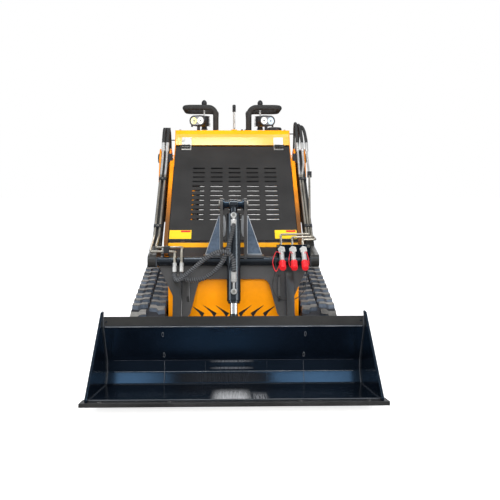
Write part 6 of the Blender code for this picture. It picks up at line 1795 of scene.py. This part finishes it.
@dataclass
class Station:
    """Handles, joysticks, lever, lamps and the standing platform."""

    deck: float = 1.171
    handle_inner: float = 0.1
    handle_outer: float = 0.285
    handle_up: float = 1.323
    handle_backs: tuple = (1.87, 1.99, 2.15)
    stick: Place = (0.171, 1.96)
    lever: Place = (0.011, 1.87)
    lamp_size: Place = (0.107, 0.062)
    emitter_x: float = 0.0222
    lamp_x: float = 0.2
    lamp_back: float = 1.8
    lamp_up: float = 1.238
    lamp_yaw: float = 28.0

    def build(self) -> None:
        """Make every control."""
        for word, side in SIDES:
            self.build_handle(word, side)
            self.build_joystick(word, side)
            self.build_lamp(word, side)
        self.build_lever()
        self.build_platform()

    def build_handle(self, word: str, side: float) -> None:
        """Tube loop with a soft cover and bolted feet."""
        i, o, z, up = side * self.handle_inner, side * self.handle_outer, self.deck + 0.0004, self.handle_up
        front, rear, far = self.handle_backs
        route = [at(i, front, z), at(i, front, up), at(o, front, up), at(o, far, up), at(i, far, up),
                 at(i, rear, up - 0.06), at(i, rear, z)]
        piece = Piece("grab_loop_" + word).tube(rounded(route, 0.045, 12), 0.016, HOSE, 24)
        foot = [(0.0165, 0.012), (0.018, 0.009), (0.022, 0.0065), (0.028, 0.0062), (0.03, 0.005), (0.03, 0.0),
                (0.018, 0.0)]
        for back in (front, rear):
            piece.lathe(foot, at(i, back, z), UP, GRIP, 36)
            for c, s in circle(3, 0.0235, math.radians(30)):
                piece.bolt(at(i + c, back + s, z + 0.006), UP, 0.0038)
        piece.done("chassis", "handle_" + word)

    def build_joystick(self, word: str, side: float) -> None:
        """Stem with a gaiter, a collar and an egg-shaped knob."""
        root = at(side * self.stick[0], self.stick[1], 0.0)
        piece = Piece("stick_" + word)
        stem = [(0.0125, 1.182), (0.0145, 1.188), (0.0145, 1.196), (0.01, 1.203), (0.005, 1.206),
                (0.005, 1.33)]
        piece.lathe(stem, root, UP, BRIGHT, 24)
        bellows = [(0.021, 1.197)]
        for k in range(6):
            r = 0.021 - 0.0022 * k
            bellows += [(r, 1.199 + 0.008 * k), (r * 0.78, 1.203 + 0.008 * k)]
        bellows += [(0.0055, 1.249), (0.005, 1.25)]
        piece.lathe(bellows, root, UP, HOSE, 28)
        knob = [(0.006, 1.326), (0.008, 1.329), (0.008, 1.335)]
        for k in range(13):
            angle = math.radians(-72 + 162 * k / 12)
            knob.append((0.0165 * math.cos(angle), 1.356 + 0.0205 * math.sin(angle)))
        piece.lathe(knob, root, UP, GRIP, 32)
        piece.soft_deg = 60
        piece.done("joystick_" + word, "joystick_" + word)

    def build_lever(self) -> None:
        """Thin throttle rod with a ribbed rubber grip."""
        root = at(*self.lever, 0.0)
        piece = Piece("throttle")
        piece.lathe([(0.0028, 1.175), (0.0028, 1.193), (0.0066, 1.197), (0.0066, 1.3)], root, UP, BRIGHT, 20)
        profile = [(0.004, 1.296), (0.009, 1.297)]
        for k in range(5):
            s = 1.299 + 0.0075 * k
            profile += [(0.0102, s), (0.0102, s + 0.005), (0.0092, s + 0.0058), (0.0092, s + 0.0068)]
        profile += [(0.0095, 1.337), (0.005, 1.34)]
        piece.lathe(profile, root, UP, GRIP, 24)
        piece.done("centre_lever", "centre_lever")

    def build_lamp(self, word: str, side: float) -> None:
        """Oval lamp: case, two emitters in their bowls, finned back, bracket and post."""
        centre = at(side * self.lamp_x, self.lamp_back, self.lamp_up)
        turn = Matrix.Rotation(math.radians(side * self.lamp_yaw), 4, "Z")
        m = Matrix.Translation(centre) @ turn @ frame_of(ACROSS, UP, -FORWARD, (0.0, 0.0, 0.0))
        piece = Piece("work_lamp_" + word)

        def oval(inset: float, depth: float) -> list[Vector]:
            """Ring round the lamp at a depth, drawn in by an inset on its width and height."""
            width, height = (size - inset for size in self.lamp_size)
            half, r = (width - height) / 2, height / 2
            return [m @ Vector((math.copysign(half, c) + r * c, r * s, depth)) for c, s in circle(40)]

        case = ((0.012, -0.012), (0.011, -0.0175), (0.004, -0.018), (0.0, -0.015), (0.0, 0.01),
                (0.008, 0.018))
        piece.rings([oval(*ring) for ring in case], GRIP)
        piece.rings([oval(0.012, -0.012), oval(0.012, -0.0145)], BOWL)
        emitters = (LED_WARM, LED) if side < 0.0 else (LED, LED_COOL)
        for dx, look in zip((-self.emitter_x, self.emitter_x), emitters):
            spot = m @ Vector((dx, 0.0, -0.0145))
            way = -(m.col[2].xyz)
            piece.lathe([(0.0236, 0.0), (0.024, 0.0022), (0.0206, 0.0024), (0.02, 0.0004)], spot, way, BOWL,
                        32)
            bowl = [(0.0202, 0.0002), (0.0202, 0.0018), (0.016, 0.0013), (0.0085, 0.0009), (0.006, 0.0008)]
            piece.lathe(bowl, spot, way, look, 32)
            piece.lathe([(0.006, 0.0005), (0.0056, 0.0022), (0.0015, 0.0027)], spot, way, BOWL, 20)
        for k in range(8):
            low = -0.03 + 0.0078 * k
            reach = 0.04 + 0.001 * (7 - k)
            near, far = sorted((-side * 0.046, side * 0.034))
            piece.slab(oblong(near, far, low, low + 0.0036), m, 0.015, 0.015 + reach, GRIP, 0.0006)
        inner, outer = sorted((-side * 0.043, side * 0.03))
        piece.slab(oblong(inner, outer, -0.0305, 0.027), m, 0.012, 0.05, GRIP, 0.002)
        foot = self.deck + 0.0004
        piece.lathe([(0.02, 0.0), (0.02, 0.004), (0.01, 0.006), (0.009, 0.034)],
                    at(side * self.lamp_x, self.lamp_back, foot), UP, GRIP, 24)
        for dx in (-0.0495, 0.0465):
            ear = [(-0.004, -0.034), (0.014, -0.034), (0.01, 0.006), (0.0, 0.006)]
            piece.slab(ear, m @ frame_of(UP, -FORWARD, ACROSS, ACROSS * dx), 0.0, 0.003, GREY, 0.0005)
        piece.done("lamp_" + word, "lamp_" + word)

    def build_platform(self) -> None:
        """Platform with raised grip studs."""
        piece = Piece("step_plate").node("platform", GREY, 0.0015)
        matrix = Matrix.Translation((0.0, -HALF_LENGTH, 0.0))
        for i in range(9):
            for k in range(6):
                x, back = -0.192 + 0.048 * i, 2.105 + 0.052 * k
                lean = 0.004 if (i + k) % 2 else -0.004
                outline = [(x - 0.016, back - lean), (x - 0.013, back + 0.003), (x + 0.016, back + lean),
                           (x + 0.013, back - 0.003)]
                piece.slab(outline, matrix, 0.2145, 0.217, STEEL, 0.0006)
        piece.done("platform", "platform")


@dataclass
class Studio:
    """Floor, light and camera."""

    eye: Vector = field(default_factory=lambda: Vector((-0.02, -2.778 - HALF_LENGTH, 0.87)))
    down_deg: float = 5.0
    yaw_deg: float = 1.56
    lens: float = 55.0
    softboxes: tuple = (
        ("key", (-1.9, -3.2, 3.3), (0.0, -0.3, 0.6), (1.8, 1.2), 80.0, False),
        ("side", (2.8, -2.6, 2.2), (0.0, 0.0, 0.6), (1.4, 2.0), 40.0, True),
        ("top", (-0.12, -1.13, 3.57), (0.0, 0.2, 0.9), (0.8, 0.7), 20.0, True),
        ("back", (0.0, 3.4, 3.0), (0.0, 0.6, 0.7), (2.6, 1.4), 50.0, True),
        ("front", (0.3, -5.4, 1.5), (0.0, 0.0, 0.5), (3.0, 1.6), 222.0, False),
    )
    cards: tuple = (
        ("left_slit", (-3.0, -1.6, 1.2), (0.0, -0.5, 0.6), (0.7, 2.4), 5.0, (0.92, 0.96, 1.0)),
        ("right_slit", (3.1, -2.2, 1.2), (0.0, -0.5, 0.6), (0.35, 2.0), 3.0, (0.92, 0.96, 1.0)),
        ("sky_left", (-1.0, -2.4, 3.6), (-0.45, -0.74, 0.0), (0.55, 1.1), 3.6, (0.6, 0.8, 1.0)),
        ("sky_right", (0.78, -2.4, 3.6), (0.4, -0.74, 0.0), (0.75, 1.1), 3.6, (0.6, 0.8, 1.0)),
    )

    def build(self) -> None:
        """Make the studio."""
        self.build_floor()
        self.build_world()
        for name, place, target, size, power, glossy in self.softboxes:
            self.area(name, place, target, size, power).visible_glossy = glossy
        for name, place, target, size, radiance, colour in self.cards:
            power = radiance * math.pi * size[0] * size[1]
            self.area(name, place, target, size, power, colour).visible_diffuse = False
        self.build_camera()

    def build_floor(self) -> None:
        """Pale floor, which looks dark from the object's shiny parts, as outdoor ground does."""
        mesh = bpy.data.meshes.new("floor")
        half = 40.0
        mesh.from_pydata([(-half, -half, 0), (half, -half, 0), (half, half, 0), (-half, half, 0)], [],
                         [(0, 1, 2, 3)])
        floor = new_object("floor", mesh)
        made = bpy.data.materials.new("floor_white")
        made.use_nodes = True
        g = Graph(made.node_tree)
        path = g.node("ShaderNodeLightPath")
        place = g.out(g.node("ShaderNodeTexCoord"), "Object")
        tone = g.mix(g.noise(place, 3.0, 2.0), (0.78, 0.78, 0.78), (0.82, 0.82, 0.82))
        matt = g.node("ShaderNodeBsdfDiffuse", {"Color": tone})
        glow = g.node("ShaderNodeEmission", {"Color": (1.0, 1.0, 1.0, 1.0), "Strength": 0.74})
        both = g.node("ShaderNodeAddShader", {0: g.out(matt), 1: g.out(glow)})
        mixed = g.node("ShaderNodeMixShader", {0: g.out(path, "Is Camera Ray"), 1: g.out(matt),
                                               2: g.out(both)})
        ground = g.node("ShaderNodeEmission", {"Color": (0.058, 0.07, 0.08, 1.0), "Strength": 1.0})
        shiny = g.node("ShaderNodeMixShader", {0: g.out(path, "Is Glossy Ray"), 1: g.out(mixed),
                                               2: g.out(ground)})
        g.node("ShaderNodeOutputMaterial", {"Surface": g.out(shiny)})
        mesh.materials.append(made)
        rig.stage(floor)

    def build_world(self) -> None:
        """Soft surroundings with a sky for the shiny parts, white only to the camera."""
        world = bpy.data.worlds.new("studio")
        bpy.context.scene.world = world
        world.use_nodes = True
        g = Graph(world.node_tree)
        path = g.node("ShaderNodeLightPath")
        way = g.node("ShaderNodeSeparateXYZ", {0: g.out(g.node("ShaderNodeTexCoord"), "Generated")})
        height = g.ramp(g.out(way, "Z"), 0.1, 0.75)
        sky = g.mix(height, (0.7, 0.72, 0.74), (0.52, 0.56, 0.62))
        mirror = g.node("ShaderNodeBackground", {"Color": sky, "Strength": 0.7})
        soft = g.node("ShaderNodeBackground", {"Color": (0.86, 0.91, 1.0, 1.0), "Strength": 0.42})
        white = g.node("ShaderNodeBackground", {"Color": (1.0, 1.0, 1.0, 1.0), "Strength": 1.0})
        lit = g.node("ShaderNodeMixShader", {0: g.out(path, "Is Glossy Ray"), 1: g.out(soft),
                                             2: g.out(mirror)})
        mixed = g.node("ShaderNodeMixShader", {0: g.out(path, "Is Camera Ray"), 1: g.out(lit),
                                               2: g.out(white)})
        g.node("ShaderNodeOutputWorld", {"Surface": g.out(mixed)})

    def area(self, name: str, place: tuple, target: tuple, size: tuple, power: float,
             colour: tuple = (1.0, 0.98, 0.95)) -> bpy.types.Object:
        """Rectangular softbox that faces a target."""
        light = bpy.data.lights.new(name, "AREA")
        light.shape = "RECTANGLE"
        light.size, light.size_y = size
        light.energy = power
        light.color = colour
        made = new_object(name, light)
        made.location = place
        made.rotation_euler = (Vector(target) - Vector(place)).to_track_quat("-Z", "Y").to_euler()
        return made

    def build_camera(self) -> None:
        """Camera at the photograph's place."""
        data = bpy.data.cameras.new("camera")
        data.lens = self.lens
        data.sensor_width = 36.0
        made = new_object("camera", data)
        made.location = self.eye
        made.rotation_euler = (math.radians(90.0 - self.down_deg), 0.0, math.radians(-self.yaw_deg))
        bpy.context.scene.camera = made
        bpy.context.scene.view_settings.view_transform = "Standard"


def plain_box() -> list[list[float]]:
    """The whole object's box as plain lists."""
    return [[float(v) for v in corner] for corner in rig.bounds()]


def main() -> None:
    """Build the studio and every sub-assembly."""
    logging.basicConfig(level=logging.INFO, format="%(name)s: %(message)s")
    cad = plain_box()
    Studio().build()
    Bucket().build()
    Tracks().build()
    Arms().build()
    Cylinder("tilt", 0.0, TILT_PINS, radius=0.0315, start=0.044, end=0.462, rod_radius=0.018, eye=0.024,
             width=0.038, ports=((0.062, -0.036, 0.004), (0.414, 0.08, 0.03)), inner=0.1).build()
    for word, side in SIDES:
        Cylinder("lift", side * 0.378, LIFT_PINS, radius=0.0195, start=0.026, end=0.318, rod_radius=0.01,
                 eye=0.022, width=0.02, tail="_" + word).build()
    Plumbing().build()
    Body().build()
    Station().build()
    with open("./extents.json", "w", encoding="utf-8") as out:
        json.dump({"cad": cad, "visual": plain_box()}, out)


if __name__ == "__main__":
    main()
